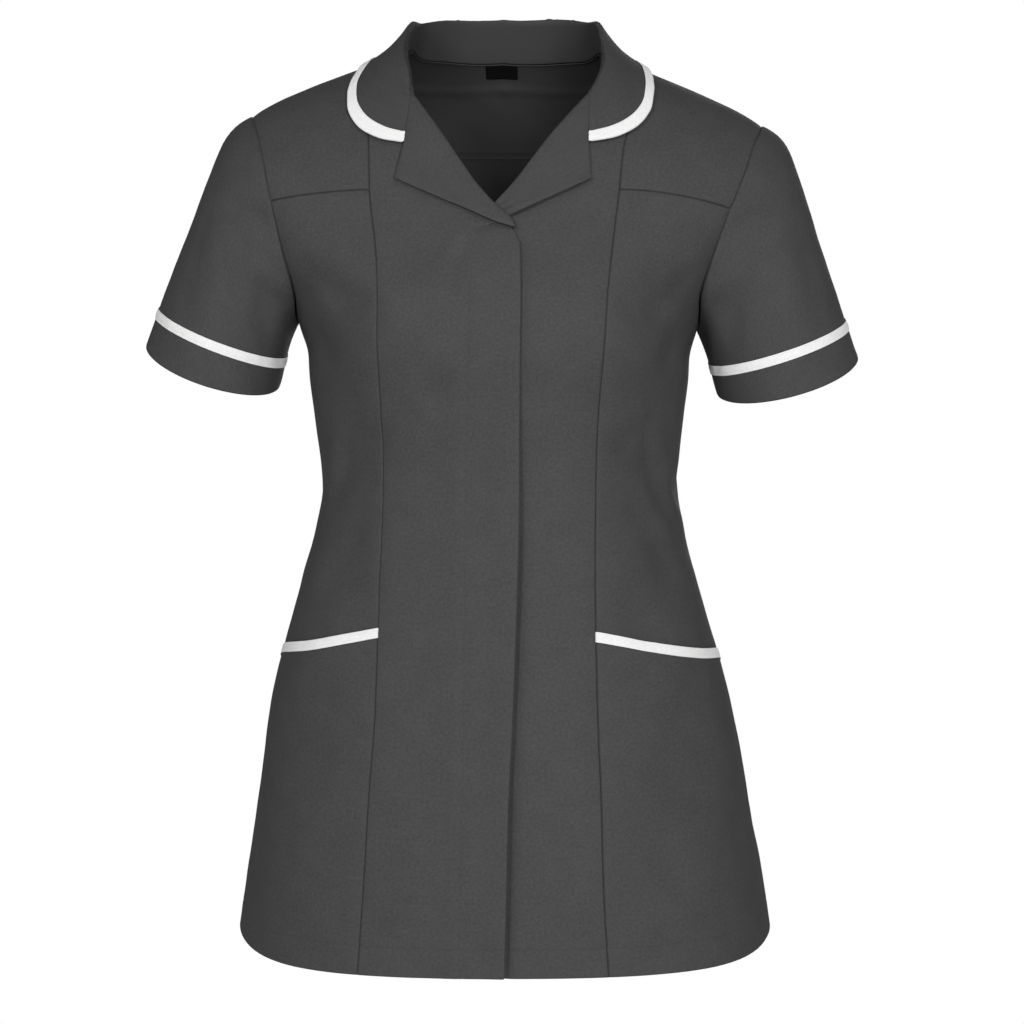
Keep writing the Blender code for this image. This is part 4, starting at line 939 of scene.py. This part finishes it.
def addSleeve(side):
    rows, tapeTop, tapeLow = sleeveRows(side)
    if (gridNormals(rows, True) * (rows - rows.mean(1, keepdims=True))).sum() < 0:
        rows = rows[:, ::-1]
    normals = gridNormals(rows, True)
    down = wayAlong(rows)
    around = wayAcross(rows)
    raised = borderLift(np.maximum(down - sleeve["tuck"], 0), around, "seam", 60 + side)
    raised = raised - sleeve["tuckDepth"] * smoothStep(1 - down / sleeve["tuck"])
    raised = raised + borderLift(down[-1] - down, around, "fold", 62 + side)
    raised = raised + clothNoise(rows * 1.3)
    for row in (tapeTop, tapeLow):
        raised = raised - cuff["dip"] * bell(down - down[row], cuff["dipReach"])
    outer = rows + normals * raised[..., None]
    name = "sleeve_" + sideNames[side]
    made[name] = {"outer": outer, "normals": normals}
    makeShell(name, outer, wall["cloth"], cloths["charcoal"], closed=True)
    band = slice(tapeTop, tapeLow + 1)
    addTape("sleeve_tape_" + sideNames[side], outer[band], normals[band], closed=True)


tapeStitch = {"inset": 0.0013, "depth": 0.00022, "reach": 0.0007, "wave": 0.00012, "waveLength": 0.011}


def addTape(name, under, normals, closed=False):
    # tape on a stretch of cloth
    height = wall["laid"] + wall["tape"]
    layTape(name, under, normals, wayAlong(under)[-1], height, len(name), tapeStitch["waveLength"], closed)


def layTape(name, under, normals, width, height, seed, length, closed=False):
    # dips at its two rows of stitches
    down = wayAlong(under)
    height = height + tapeStitch["wave"] * ripple(wayAcross(under), seed, length)
    for far in (down - tapeStitch["inset"], width - down - tapeStitch["inset"]):
        height = height - tapeStitch["depth"] * bell(far, tapeStitch["reach"])
    outer = under + normals * height[..., None]
    made[name] = {"outer": outer, "normals": normals, "down": down}
    makeShell(name, outer, wall["tape"], cloths["white"], closed)


# lapels and collar

collar = {                  # its stand by share of the way from the back middle, its free edge as points
    "way": (0.0, 0.25, 0.45, 0.60, 0.75, 0.88, 1.0),
    "height": (0.0345, 0.0330, 0.0255, 0.0187, 0.0120, 0.0068, 0.0045),
    "tilt": (0.0, 0.0008, 0.0014, 0.0013, 0.0008, 0.0, 0.0),
    "across": (0.0, 0.050, 0.084, 0.1010, 0.1060, 0.1135, 0.1180, 0.1160, 0.1075, 0.0920,
               lapel["gorgeAcross"]),
    "depth": (0.094, 0.088, 0.066, 0.040, 0.014, -0.020, -0.052, -0.064, -0.075, -0.083, -0.088),
    "edgeHeight": (-0.014, -0.016, -0.016, -0.014, -0.012, -0.020, -0.0415, -0.0545, -0.0660, -0.0745,
                   lapel["gorgeHeight"]),
    "hollow": 0.0030, "fold": 0.0018, "tape": 0.0070, "lean": 0.12, "gap": 0.0005, "stitch": 0.0045,
    "allowance": 0.0006, "allowanceAt": 0.0032, "allowanceReach": 0.0018, "edgeLift": 0.0024,
    "flatFrom": 0.62,       # from here on the collar lies down flat towards its ends
    "inner": (0.0, 0.015, 0.0), "frontOf": -0.045, "standShadeDrop": 0.001, "standShadeBlend": 0.002,
    "waveLength": 0.012,
    "least": (0.0034, 0.0034, 0.0034, 0.0032, 0.0030, 0.0027, 0.0024), "split": 4, "tapeUnder": 0.0016,
}


def inwardAlong(line, towards):
    run = unit(np.gradient(line, axis=0))
    step = np.cross(outward(line), run)
    return unit(step * np.sign(((towards - line) * step).sum(-1, keepdims=True)))


def curlColumns(edge, inward, normal):
    return np.stack([edge + inward * x + normal * z for x, z in lapel["curl"]], 1)


def finerColumns(grid, split):
    steps = grid.shape[1] - 1
    places = np.linspace(0, steps, steps * split + 1)
    flat = turned(grid).reshape(steps + 1, -1)
    return turned(cubic(np.arange(steps + 1), flat, places).reshape(len(places), len(grid), 3))


turnedEdge = {"dip": 0.0003, "reach": 0.0009, "wave": 0.00012, "waveLength": 0.014, "waveReach": 0.006}


def turnedCloth(name, middle, directions, seed, extra=None, paintedShade=None):
    # two layers turned over, about a middle surface
    if (gridNormals(middle)[:, -9:] * directions[:, -9:]).sum(-1).mean() < 0:
        middle = middle[::-1]
    normals = gridNormals(middle)
    far = borders(middle)
    height = wall["collar"] / 2 + 0.6 * clothNoise(middle * 1.5)
    for number, border in enumerate(("low", "high", "end")):
        along = far["start"] if border != "end" else far["low"]
        height = height - turnedEdge["dip"] * bell(far[border], turnedEdge["reach"])
        wave = turnedEdge["wave"] * ripple(along, seed + number, turnedEdge["waveLength"])
        height = height + wave * bell(far[border], turnedEdge["waveReach"])
    if extra:
        height = height + extra(far)
    outer = middle + normals * height[..., None]
    made[name] = {"outer": outer, "normals": normals}
    paintedShadeShare = paintedShade(far) if paintedShade else None
    makeShell(name, outer, wall["collar"], cloths["charcoal"], paintedShade=paintedShadeShare)
    return middle, normals


def lapelEdge(side, roll):
    # from the turning line down to the tip, bowed a little
    start = partsOf(roll, 60)[lapel["start"][side]]
    line = np.linspace(start, frontPlace(side, *lapel["tip"][side]), 8)
    line[:, 2] -= lapel["bow"] * np.sin(np.pi * np.linspace(0, 1, 8) ** lapel["bowLean"])
    return line


def addLapel(side, roll, lift):
    corner = frontPlace(side, lapel["gorgeAcross"], lapel["gorgeHeight"])
    stations = 12 * grain["fine"]
    line = partsOf(partsOf(roll, 60)[lapel["start"][side]:], stations)
    lower = lapelEdge(side, roll)
    outerEdge = np.linspace(lower[-1], corner, stations + 1)
    grid = snap(patch(lower, np.linspace(line[-1], corner, 8), line, outerEdge))
    normal = outward(grid)
    heights = np.interp(np.linspace(0, 1, 8), np.linspace(0, 1, 7), lapel["rise"])
    raised = grid + normal * (heights[None, :, None] + lift(grid)[..., None])
    edge = line + outward(line) * lift(line)[..., None]
    curl = curlColumns(edge, inwardAlong(line, lapel["inner"]), outward(line))
    middle = np.concatenate([curl, raised[:, 1:]], 1)
    if side == left:
        # pressed flat where it runs on under the right front
        shown = flyAcross(middle) + cubic(lapel["rollHeight"], lapel["rollAcross"], middle[..., 2])
        flat = snap(middle, lapel["pressed"])
        middle = flat + (middle - flat) * smoothStep((shown + 0.001) / lapel["pressedReach"])[..., None]
    directions = np.concatenate([curl * 0 + normal[:, :1], normal[:, 1:]], 1)
    turnedCloth("lapel_" + sideNames[side], finerColumns(middle, 4), finerColumns(directions, 4), 40 + side)


def collarEdge(side):
    guides = np.stack([side * np.array(collar["across"]), np.array(collar["depth"]),
                       np.array(collar["edgeHeight"])], -1)
    frontRows = guides[:, 1] < collar["frontOf"]
    guides[frontRows, 0] += column(lines, "middle", guides[frontRows, 2])
    guides[~frontRows, 0] += size["neckLean"]
    return snap(guides)


def collarHalf(side, neck, neckSide):
    fine = grain["fine"]
    backPart = neck[8 * fine:] if side == left else neck[8 * fine::-1]
    edge = np.concatenate([partsOf(backPart, 8 * fine), partsOf(neckSide[::-1], 10 * fine)[1:]])
    way = wayAlong(edge)
    way = way / way[-1]
    normal = outward(edge)
    inward = inwardAlong(edge, collar["inner"])
    free = even(collarEdge(side), len(edge) - 1)
    free[-1] = frontPlace(side, lapel["gorgeAcross"], lapel["gorgeHeight"])
    free = snap(free, collar["edgeLift"])
    height = (column(collar, "height", way, "way") + side * column(collar, "tilt", way, "way"))[:, None]
    curlStart = lapel["curl"][0]
    start = edge + inward * curlStart[0] + normal * curlStart[1]
    flat = smoothStep((way - collar["flatFrom"]) / (1 - collar["flatFrom"]))[:, None]
    up = unit(np.array([0, 0, 1.0]) + collar["lean"] * inward)
    up = unit(up * (1 - flat) + normal * flat)
    standTop = start + up * (height - collar["fold"])
    step = free - standTop
    step = unit(step - (step * up).sum(-1, keepdims=True) * up)
    centre = standTop + step * collar["fold"]
    across, above = ((free - centre) * step).sum(-1), ((free - centre) * up).sum(-1)
    leave = np.arctan2(above, across) + np.arccos(np.clip(collar["fold"] / np.hypot(across, above), -1, 1))
    points = [start, (start + standTop) / 2, standTop]
    for share in (0.33, 0.66, 1.0):
        angle = (np.pi + (leave - np.pi) * share)[:, None]
        points.append(centre + collar["fold"] * (np.cos(angle) * step + np.sin(angle) * up))
    last = points[-1]
    fall = free - last
    bow = unit(np.cross(np.cross(fall, up), fall))
    length = np.linalg.norm(fall, axis=-1)
    for share in (0.2, 0.4, 0.6, 0.8, 1.0):
        part = (share * (1 - collar["tape"] / length))[:, None]
        points.append(last + fall * part - bow * collar["hollow"] * np.sin(np.pi * part))
    points.append(free)
    standing = np.stack(points, 1)
    lying = np.concatenate([curlColumns(edge, inward, normal), standing[:, 5:]], 1)
    for k in range(7):
        place = snap(edge * (1 - k / 6) + free * k / 6)
        lying[:, 5 + k] = place + outward(place) * lapel["rise"][k]
    rows = standing * (1 - flat[:, None]) + lying * flat[:, None]
    body = rows[:, 5:]
    heightNow = depthOf(body) / np.linalg.norm(slopeOf(body), axis=-1)
    push = np.maximum(np.array(collar["least"]) - heightNow, 0)
    rows[:, 5:] = body + outward(body) * push[..., None]
    return rows


def addCollar(neck, necks):
    rows = np.concatenate([collarHalf(right, neck, necks[right])[:0:-1], collarHalf(left, neck, necks[left])])
    for end, inner in ((0, 1), (-1, -2)):
        rows[end] += unit(rows[inner] - rows[end]) * collar["gap"]
    split = collar["split"]
    foldAt = column(collar, "height", np.abs(np.linspace(-1, 1, len(rows)))[:, None], "way")

    def paintedStandShade(far):
        # painted shade: the inside of the stand, below the fold, takes the cloth's dark shade, standing in
        # for the shade there
        return smoothStep((foldAt - collar["standShadeDrop"] - far["start"]) / collar["standShadeBlend"])

    def shape(far):
        # a row of stitches under the fold, and the neck seam's allowance inside
        beyond = far["start"] - collar["allowanceAt"]
        dip = stitchLift(far["start"] - foldAt + collar["stitch"], far["low"], 91)
        return dip - collar["allowance"] * bell(beyond, collar["allowanceReach"])

    middle, normals = turnedCloth("collar", finerColumns(rows, split), finerColumns(outward(rows), split),
                                  50, shape, paintedStandShade)
    out = unit(middle[:, -1] - middle[:, -1 - split])
    above = wall["collar"] / 2 + wall["laid"] * 0.5 + wall["tape"]
    section = [middle[:, k] + normals[:, k] * above for k in range(-1 - split, 0)]
    for angle in np.radians((60, 30, 0, -30, -60, -90)):
        section.append(middle[:, -1] + above * (out * math.cos(angle) + normals[:, -1] * math.sin(angle)))
    section.append(section[-1] - out * collar["tapeUnder"])
    strip = turned(np.stack(section, 1))
    strip = strip if (gridNormals(strip)[0] * normals[:, -1 - split]).sum(-1).mean() > 0 else strip[:, ::-1]
    layTape("collar_tape", strip, gridNormals(strip), collar["tape"], 0.0, 33, collar["waveLength"])


# the whole tunic

backSeam = {                # the back's long seams: distance from the middle, by height
    "height": (-0.75, -0.60, -0.47, -0.36, -0.27, -0.18, -size["backYokeDrop"]),
    "across": (0.108, 0.098, 0.086, 0.0755, 0.083, 0.0945, 0.100),
    "columns": (7, 21, 28),     # where they meet the yoke, of its steps from side to side
}
fly = {
    "riseStart": -0.045, "riseWidth": 0.024, "stitch": -0.0168, "stitchTop": -0.172,
    "stand": 0.0030, "standStart": -0.006, "standWidth": 0.028, "standTop": -0.24, "standReach": 0.20,
    "trough": (0.0020, 0.0036), "troughWidth": (0.0024, 0.0050), "troughTop": 0.004,
    "pull": -0.0008, "pullReach": 0.0022, "ridge": 0.0007, "ridgeAt": 0.0050, "ridgeReach": 0.0034,
    "stitchStart": 0.012, "threadStart": 0.006, "wave": 17, "waveShare": 0.25,
}
pocket = {
    "stand": 0.00015, "gape": 0.0009, "gapeReach": 0.010, "under": 0.0013, "underReach": 0.003,
    "tapeShare": 0.94, "tapeDown": 0.0001,
    "tapeRows": (0, 0.0006, 0.0012, 0.0018, 0.0030, 0.0045, 0.0054, 0.0060, 0.0066, 0.0072),
}
label = {"fromEdge": 0.0012, "length": 0.0136, "gap": 0.0005, "cloth": 0.0005}


def flyAcross(grid):
    return grid[..., 0] - column(lines, "middle", grid[..., 2])


def lowerFly(grid):
    return smoothStep((fly["standTop"] - grid[..., 2]) / fly["standReach"])


def flyLift(grid):
    rise = smoothStep((flyAcross(grid) - fly["riseStart"]) / fly["riseWidth"])
    stand = smoothStep((flyAcross(grid) - fly["standStart"]) / fly["standWidth"])
    wave = 1 + fly["waveShare"] * np.sin(grid[..., 2] * fly["wave"] + 1)
    return size["flyLift"] * rise + fly["stand"] * stand * lowerFly(grid) * wave


def noLift(grid):
    return np.zeros(grid.shape[:-1])


def backLongSeam(side, top):
    heights = np.concatenate([finer(lines["sideSeamRows"]),
                              np.linspace(-size["underarmDrop"], top[2], 9 * grain["fine"] + 1)[1:]])
    across = side * column(backSeam, "across", heights)
    line = toHem(seen(across + column(form, "lean", heights), heights, back))
    line[-1] = top
    return line


def addFront(side):
    name, fine = sideNames[side], grain["fine"]
    upper = flyLift if side == right else noLift
    seamLow, seamHigh = longSeam(side)
    edge, roll, neck = flyEdge(side)
    inner = np.concatenate([edge, roll[1:], neck[1:]])
    seam = np.concatenate([seamLow, seamHigh[1:]])
    shoulder = shoulderSeam(side, size["neckHalf"] + side * size["neckLean"], size["longSeamTop"], 6)
    centre = patch(hemLine(inner[0], seam[0], 6), shoulder, inner, seam)

    def flyStitches(grid, far):
        away = flyAcross(grid) - fly["stitch"]
        below = smoothStep((fly["stitchTop"] - grid[..., 2]) / fly["stitchStart"])
        pull = (fly["pull"] * bell(away, fly["pullReach"])
                + fly["ridge"] * bell(away + fly["ridgeAt"], fly["ridgeReach"]))
        return (stitchLift(away, far["low"], 17) + pull) * below

    def underFly(grid, far):
        # the lower front hollows away beside the edge that lies on it
        edge = flyEdge(right)[0]
        away = grid[..., 0] - np.interp(grid[..., 2], edge[:, 2], edge[:, 0])
        low = lowerFly(grid)
        depth, width = (above + (below - above) * low for above, below in (fly["trough"], fly["troughWidth"]))
        below = smoothStep((lapel["breakHeight"] - grid[..., 2]) / fly["troughTop"] + 1)
        return -depth * bell(away, width) * below

    panel("front_centre_" + name, centre, ("hem", "seam", "fold", "seam"), upper, 1 + side,
          flyStitches if side == right else underFly)
    addLapel(side, roll, upper)

    tipYoke, yokeUnderarm, underarmBack, backTip = armhole(side)
    tipYoke[0] = fromAbove(tipYoke[0][0], size["shoulderSeamY"])
    backTip[-1] = tipYoke[0]
    yokeSeam = frontYokeSeam(side, seamHigh[0], tipYoke[-1])
    outerShoulder = shoulderSeam(side, size["longSeamTop"], side * tipYoke[0][0], 5)
    panel("front_yoke_" + name, patch(yokeSeam, outerShoulder, seamHigh, tipYoke[::-1]), ("seam",) * 4,
          seed=5 + side)

    downSide = sideSeam(side)
    downSide[-1] = yokeUnderarm[-1]
    outerEdge = np.concatenate([downSide, yokeUnderarm[::-1][1:]])
    sidePanel = patch(hemLine(seamLow[0], downSide[0], 5), yokeSeam, seamLow, outerEdge)
    mouthLow, mouth = sidePanel[lines["mouthLow"] * fine], sidePanel[lines["mouthTop"] * fine]
    order = np.argsort(mouth[:, 0])

    def belowMouth(grid):
        return np.interp(grid[..., 0], mouth[order, 0], mouth[order, 2]) - grid[..., 2]

    def sunk(grid):
        return -pocket["under"] * smoothStep(belowMouth(grid) / pocket["underReach"] + 0.5)

    def gape(grid):
        ends = np.sin(np.pi * np.clip((grid[..., 0] - mouth[0, 0]) / (mouth[-1, 0] - mouth[0, 0]), 0, 1))
        return pocket["stand"] + pocket["gape"] * ends * bell(belowMouth(grid), pocket["gapeReach"])

    panel("front_side_" + name, sidePanel, ("hem", "seam", "seam", "seam"), sunk, 9 + side)
    panel("pocket_" + name, sidePanel[:lines["mouthTop"] * fine + 1], ("hem", "fold", "seam", "seam"),
          gape, 13 + side)
    top = made["pocket_" + name]
    rows = top["far"]["high"]
    width = np.linalg.norm(mouth - mouthLow, axis=-1).mean()
    shares = np.array(pocket["tapeRows"])[::-1, None] / pocket["tapeRows"][-1]
    places = rows[0][None] - shares * width * pocket["tapeShare"] - pocket["tapeDown"]
    under = alongColumns(top["outer"], places)
    addTape("pocket_tape_" + name, under, gridNormals(under))
    return {"neck": neck, "backTip": backTip, "shoulder": np.concatenate([centre[-1], outerShoulder[1:]]),
            "side": np.concatenate([downSide, underarmBack[1:]])}


def addBack(rightSide, leftSide, neck):
    fine = grain["fine"]
    low, high, columns = (share * fine for share in backSeam["columns"])
    line = backYokeSeam(rightSide["side"][-1], leftSide["side"][-1], columns)
    seamRight, seamLeft = backLongSeam(right, line[low]), backLongSeam(left, line[high])
    pieces = (("back_side_right", rightSide["side"], seamRight, line[:low + 1]),
              ("back_centre", seamRight, seamLeft, line[low:high + 1]),
              ("back_side_left", seamLeft, leftSide["side"], line[high:]))
    for number, (name, start, end, top) in enumerate(pieces):
        grid = patch(hemLine(start[0], end[0], (len(top) - 1) // fine, back), top, start, end)
        panel(name, grid, ("hem", "seam", "seam", "seam"), seed=20 + number)
    top = np.concatenate([rightSide["shoulder"][::-1], neck[1:-1], leftSide["shoulder"]])
    yoke = patch(partsOf(line, len(top) - 1), top, rightSide["backTip"], leftSide["backTip"])
    panel("back_yoke", yoke, ("topstitched", "seam", "seam", "seam"), seed=30)
    middle = yoke.shape[1] // 2 - 1
    top, below = (yoke[row, middle - fine:middle + fine + 1] for row in (-1, -1 - fine))
    lengths = np.linspace(label["length"], label["fromEdge"], 9)[:, None, None]
    place = snap(top + (below - top) * (lengths / np.linalg.norm(below - top, axis=-1).mean()))
    panelNormals = outward(place)
    outer = place - panelNormals * (wall["cloth"] + label["gap"])
    outer = outer if (gridNormals(outer) * panelNormals).sum() > 0 else outer[:, ::-1]
    made["label"] = {"outer": outer, "normals": panelNormals}
    makeShell("label", outer, label["cloth"], cloths["black"])


# stitches, laid by a node tree along paths on the cloth

stitchKinds = {
    "dark": {"length": 0.0021, "pitch": 0.0029, "width": 0.00042, "thread": "darkThread"},
    "white": {"length": 0.0020, "pitch": 0.0027, "width": 0.00042, "thread": "whiteThread"},
    "small": {"length": 0.0013, "pitch": 0.0019, "width": 0.00034, "thread": "darkThread"},
}
stitchSink, stitchGrowth = 0.00004, (0.88, 1.08)    # how deep they lie, and how their lengths vary


def stitchTree():
    # takes a path and gives stitches laid along it
    group = bpy.data.node_groups.new("laid stitches", "GeometryNodeTree")
    group.interface.new_socket("Geometry", in_out="OUTPUT", socket_type="NodeSocketGeometry")
    inputs = (("Path", "Geometry", None), ("Length", "Float", 0.002), ("Pitch", "Float", 0.003),
              ("Width", "Float", 0.0004), ("Material", "Material", None))
    for name, kind, value in inputs:
        opening = group.interface.new_socket(name, in_out="INPUT", socket_type="NodeSocket" + kind)
        if value:
            opening.default_value = value
    tree = Nodes(group)
    given = tree.add("NodeGroupInput").outputs
    curve = tree.add("GeometryNodeMeshToCurve", Mesh=given["Path"]).outputs["Curve"]
    spaced = tree.add("GeometryNodeResampleCurve", {"mode": "LENGTH"}, Curve=curve, Length=given["Pitch"])
    up = tree.add("GeometryNodeInputNamedAttribute", {"data_type": "FLOAT_VECTOR"}, Name="up")
    tangent = tree.add("GeometryNodeInputTangent").outputs["Tangent"]
    facing = tree.add("FunctionNodeAlignRotationToVector", {"axis": "X"}, Vector=tangent)
    level = tree.add("FunctionNodeAlignRotationToVector", {"axis": "Z", "pivot_axis": "X"},
                     Rotation=facing.outputs["Rotation"], Vector=up.outputs["Attribute"])
    grown = tree.add("FunctionNodeRandomValue", {"data_type": "FLOAT"}, Seed=5)
    for place, value in zip(grown.inputs[2:4], stitchGrowth):
        place.default_value = value
    length = Maths(group, given["Length"]) * Maths(group, grown.outputs[1])
    scale = tree.add("ShaderNodeCombineXYZ", X=length, Y=given["Width"], Z=given["Width"])
    bead = tree.add("GeometryNodeMeshUVSphere", Segments=6, Rings=5, Radius=0.5).outputs["Mesh"]
    soft = tree.add("GeometryNodeSetShadeSmooth", Geometry=bead).outputs["Geometry"]
    laid = tree.add("GeometryNodeInstanceOnPoints", Points=spaced.outputs["Curve"], Instance=soft,
                    Rotation=level.outputs["Rotation"], Scale=scale.outputs["Vector"])
    real = tree.add("GeometryNodeRealizeInstances", Geometry=laid.outputs["Instances"]).outputs["Geometry"]
    done = tree.add("GeometryNodeSetMaterial", Geometry=real, Material=given["Material"])
    tree.add("NodeGroupOutput", Geometry=done.outputs["Geometry"])
    return group


stitchPaths = {}


def addPath(name, kind, points, ups, closed=False):
    stitchPaths.setdefault((name, kind), []).append((points, ups, closed))


def sewAll():
    group = stitchTree()
    inputs = {item.name: item.identifier for item in group.interface.items_tree if item.in_out == "INPUT"}
    for (name, kind), paths in stitchPaths.items():
        facts = stitchKinds[kind]
        points, ups, steps = [], [], []
        for line, up, closed in paths:
            first = len(points)
            points += list(line - up * stitchSink + up * facts["width"] * 0.25)
            ups += list(up)
            steps += [(first + k, first + k + 1) for k in range(len(line) - 1)]
            if closed:
                steps.append((first + len(line) - 1, first))
        mesh = bpy.data.meshes.new(name)
        mesh.from_pydata(points, steps, [])
        mesh.attributes.new("up", "FLOAT_VECTOR", "POINT").data.foreach_set("vector", np.array(ups).ravel())
        path = bpy.data.objects.new(name + "_path", mesh)
        bpy.context.collection.objects.link(path)
        layer = path.modifiers.new("stitches", "NODES")
        layer.node_group = group
        for value in ("length", "pitch", "width"):
            layer[inputs[value.capitalize()]] = facts[value]
        layer[inputs["Material"]] = cloths[facts["thread"]]
        graph = bpy.context.evaluated_depsgraph_get()
        result = bpy.data.meshes.new_from_object(path.evaluated_get(graph))
        result.name = name
        bpy.data.objects.remove(path)
        piece = bpy.data.objects.new(name, result)
        bpy.context.collection.objects.link(piece)
        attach(piece, "root")


def rowPath(name, kind, source, row, closed=False):
    addPath(name, kind, made[source]["outer"][row], made[source]["normals"][row], closed)


def tapePaths(tape, closed=False, width=None):
    rows = made[tape]["down"].mean(1)
    for far in (tapeStitch["inset"], (width or rows[-1]) - tapeStitch["inset"]):
        rowPath(tape + "_stitches", "white", tape, int(np.argmin(np.abs(rows - far))), closed)


def stitchRow(kind):
    return edges[kind]["rows"].index(edges[kind]["stitch"])


def markStitches():
    for source in made:
        if source.startswith(("front_centre", "pocket_right", "pocket_left", "back_centre", "back_side")):
            rowPath("hem_stitches", "dark", source, stitchRow("hem"))
    rowPath("yoke_stitches", "dark", "back_yoke", stitchRow("topstitched"))
    across = flyAcross(made["front_centre_right"]["grid"])
    line, ups = levelLine("front_centre_right", across, fly["stitch"])
    kept = line[:, 2] < fly["stitchTop"] - fly["threadStart"]
    addPath("fly_stitches", "dark", line[kept], ups[kept])
    for side in sideNames.values():
        tapePaths("sleeve_tape_" + side, closed=True)
        tapePaths("pocket_tape_" + side)
    tapePaths("collar_tape", width=collar["tape"])
    mark = made["label"]
    for place in (1, -2):
        addPath("label_stitches", "small", mark["outer"][:, place], -mark["normals"][:, place])


def makeTunic():
    for side in sideNames:
        laidEdges.extend([lapelEdge(side, flyEdge(side)[1]), collarEdge(side)])
    rightSide, leftSide = addFront(right), addFront(left)
    neck = neckBack()
    addBack(rightSide, leftSide, neck)
    addSleeve(right)
    addSleeve(left)
    addCollar(neck, {right: rightSide["neck"], left: leftSide["neck"]})
    print("cloth cut and folded")
    markStitches()
    sewAll()
    print("stitches sewn")


makeTunic()

cuts = {                    # width, length and area of the cloth that shows, opened flat
    "front_centre_right": (0.117, 0.819, 0.0752), "front_centre_left": (0.114, 0.825, 0.0743),
    "front_side_right": (0.183, 0.617, 0.0820), "front_side_left": (0.217, 0.612, 0.0943),
    "front_yoke_right": (0.103, 0.168, 0.0141), "front_yoke_left": (0.112, 0.169, 0.0155),
    "back_centre": (0.215, 0.657, 0.1201), "back_yoke": (0.494, 0.118, 0.0371),
    "back_side_right": (0.188, 0.674, 0.0864), "back_side_left": (0.191, 0.682, 0.0873),
    "sleeve_right": (0.490, 0.211, 0.0511), "sleeve_left": (0.492, 0.210, 0.0531),
    "lapel_right": (0.062, 0.141, 0.0042), "lapel_left": (0.060, 0.146, 0.0041),
    "pocket_right": (0.184, 0.263, 0.0410), "pocket_left": (0.219, 0.261, 0.0478),
    "collar": (0.100, 0.611, 0.0363), "collar_tape": (0.618, 0.016, 0.0078),
    "label": (0.026, 0.0123, 0.00032),
}
folded = ("collar", "collar_tape", "lapel_right", "lapel_left")
onCloth = {}                # tapes, by the cloth they lie on
restsOn = {"collar_tape": "collar", "label": "back_yoke", "collar": "back_yoke"}
for side in sideNames.values():
    onCloth.update({name + side: name + "tape_" + side for name in ("pocket_", "sleeve_")})
    restsOn.update({"pocket_" + side: "front_side_" + side, "lapel_" + side: "front_centre_" + side})

for name, facts in made.items():
    piece = facts["piece"]
    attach(piece, "root")
    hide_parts(name)
    if name in cuts:
        tapes = [made[onCloth[name]]["piece"]] if name in onCloth else []
        under = [made[restsOn[name]]["piece"]] if name in restsOn else []
        "folded" if name in folded else "hung"


# room, lights and camera

room = {"floorDrop": 1.45, "floorRadius": 2.6, "shade": 0.9, "backdrop": 1.0, "ambient": 0.17}
lights = {
    "key": {"place": (-1.25, -2.3, 0.60), "aim": (0, 0, -0.30), "size": 0.8, "power": 27},
    "above": {"place": (0.9, -2.1, 1.05), "aim": (0, 0, -0.26), "size": 0.8, "power": 15},
    "fill": {"place": (0.7, -2.6, -0.30), "aim": (0, 0, -0.36), "size": 1.0, "power": 28},
    "sideRight": {"place": (-2.6, -0.5, 0.6), "aim": (0, 0, -0.25), "size": 1.2, "power": 8.5},
    "sideLeft": {"place": (2.6, -0.5, 0.6), "aim": (0, 0, -0.25), "size": 1.2, "power": 9.5},
    "behind": {"place": (0.4, 3.0, 0.5), "aim": (0, 0, -0.36), "size": 2.0, "power": 26},
}
view = {"x": 0.0072, "distance": 2.5, "z": -0.3664, "across": 0.8192}


def makeRoom():
    look = Look("floor")
    look.surface.inputs["Base Color"].default_value = (room["shade"], room["shade"], room["shade"], 1)
    look.surface.inputs["Roughness"].default_value = 0.9
    bpy.ops.mesh.primitive_circle_add(vertices=96, radius=room["floorRadius"], fill_type="NGON",
                                      location=(0, 0, -room["floorDrop"]))
    floor = bpy.context.object
    floor.name = "floor"
    floor.data.materials.append(look.material)
    world = bpy.data.worlds.new("studio")
    world.use_nodes = True
    around = Nodes(world.node_tree)
    ground = around.tree.nodes["Background"].inputs
    ground["Color"].default_value = (1, 1, 1, 1)
    ray = around.add("ShaderNodeLightPath").outputs["Is Camera Ray"]
    strength = around.add("ShaderNodeMapRange", Value=ray, To_Min=room["ambient"], To_Max=room["backdrop"])
    around.feed(ground["Strength"], strength.outputs["Result"])
    bpy.context.scene.world = world
    bpy.context.scene.view_settings.view_transform = "Standard"
    for name, facts in lights.items():
        lamp = bpy.data.lights.new(name, "AREA")
        lamp.shape, lamp.size, lamp.energy = "DISK", facts["size"], facts["power"]
        piece = bpy.data.objects.new(name, lamp)
        piece.location = facts["place"]
        aim = Vector(facts["aim"]) - Vector(facts["place"])
        piece.rotation_euler = aim.to_track_quat("-Z", "Y").to_euler()
        bpy.context.collection.objects.link(piece)


def makeCamera():
    camera = bpy.data.cameras.new("camera")
    camera.lens = camera.sensor_width * view["distance"] / view["across"]
    piece = bpy.data.objects.new("camera", camera)
    piece.location = (view["x"], -view["distance"], view["z"])
    piece.rotation_euler = (math.pi / 2, 0, 0)
    bpy.context.collection.objects.link(piece)
    bpy.context.scene.camera = piece


makeRoom()
makeCamera()

print("scene done")
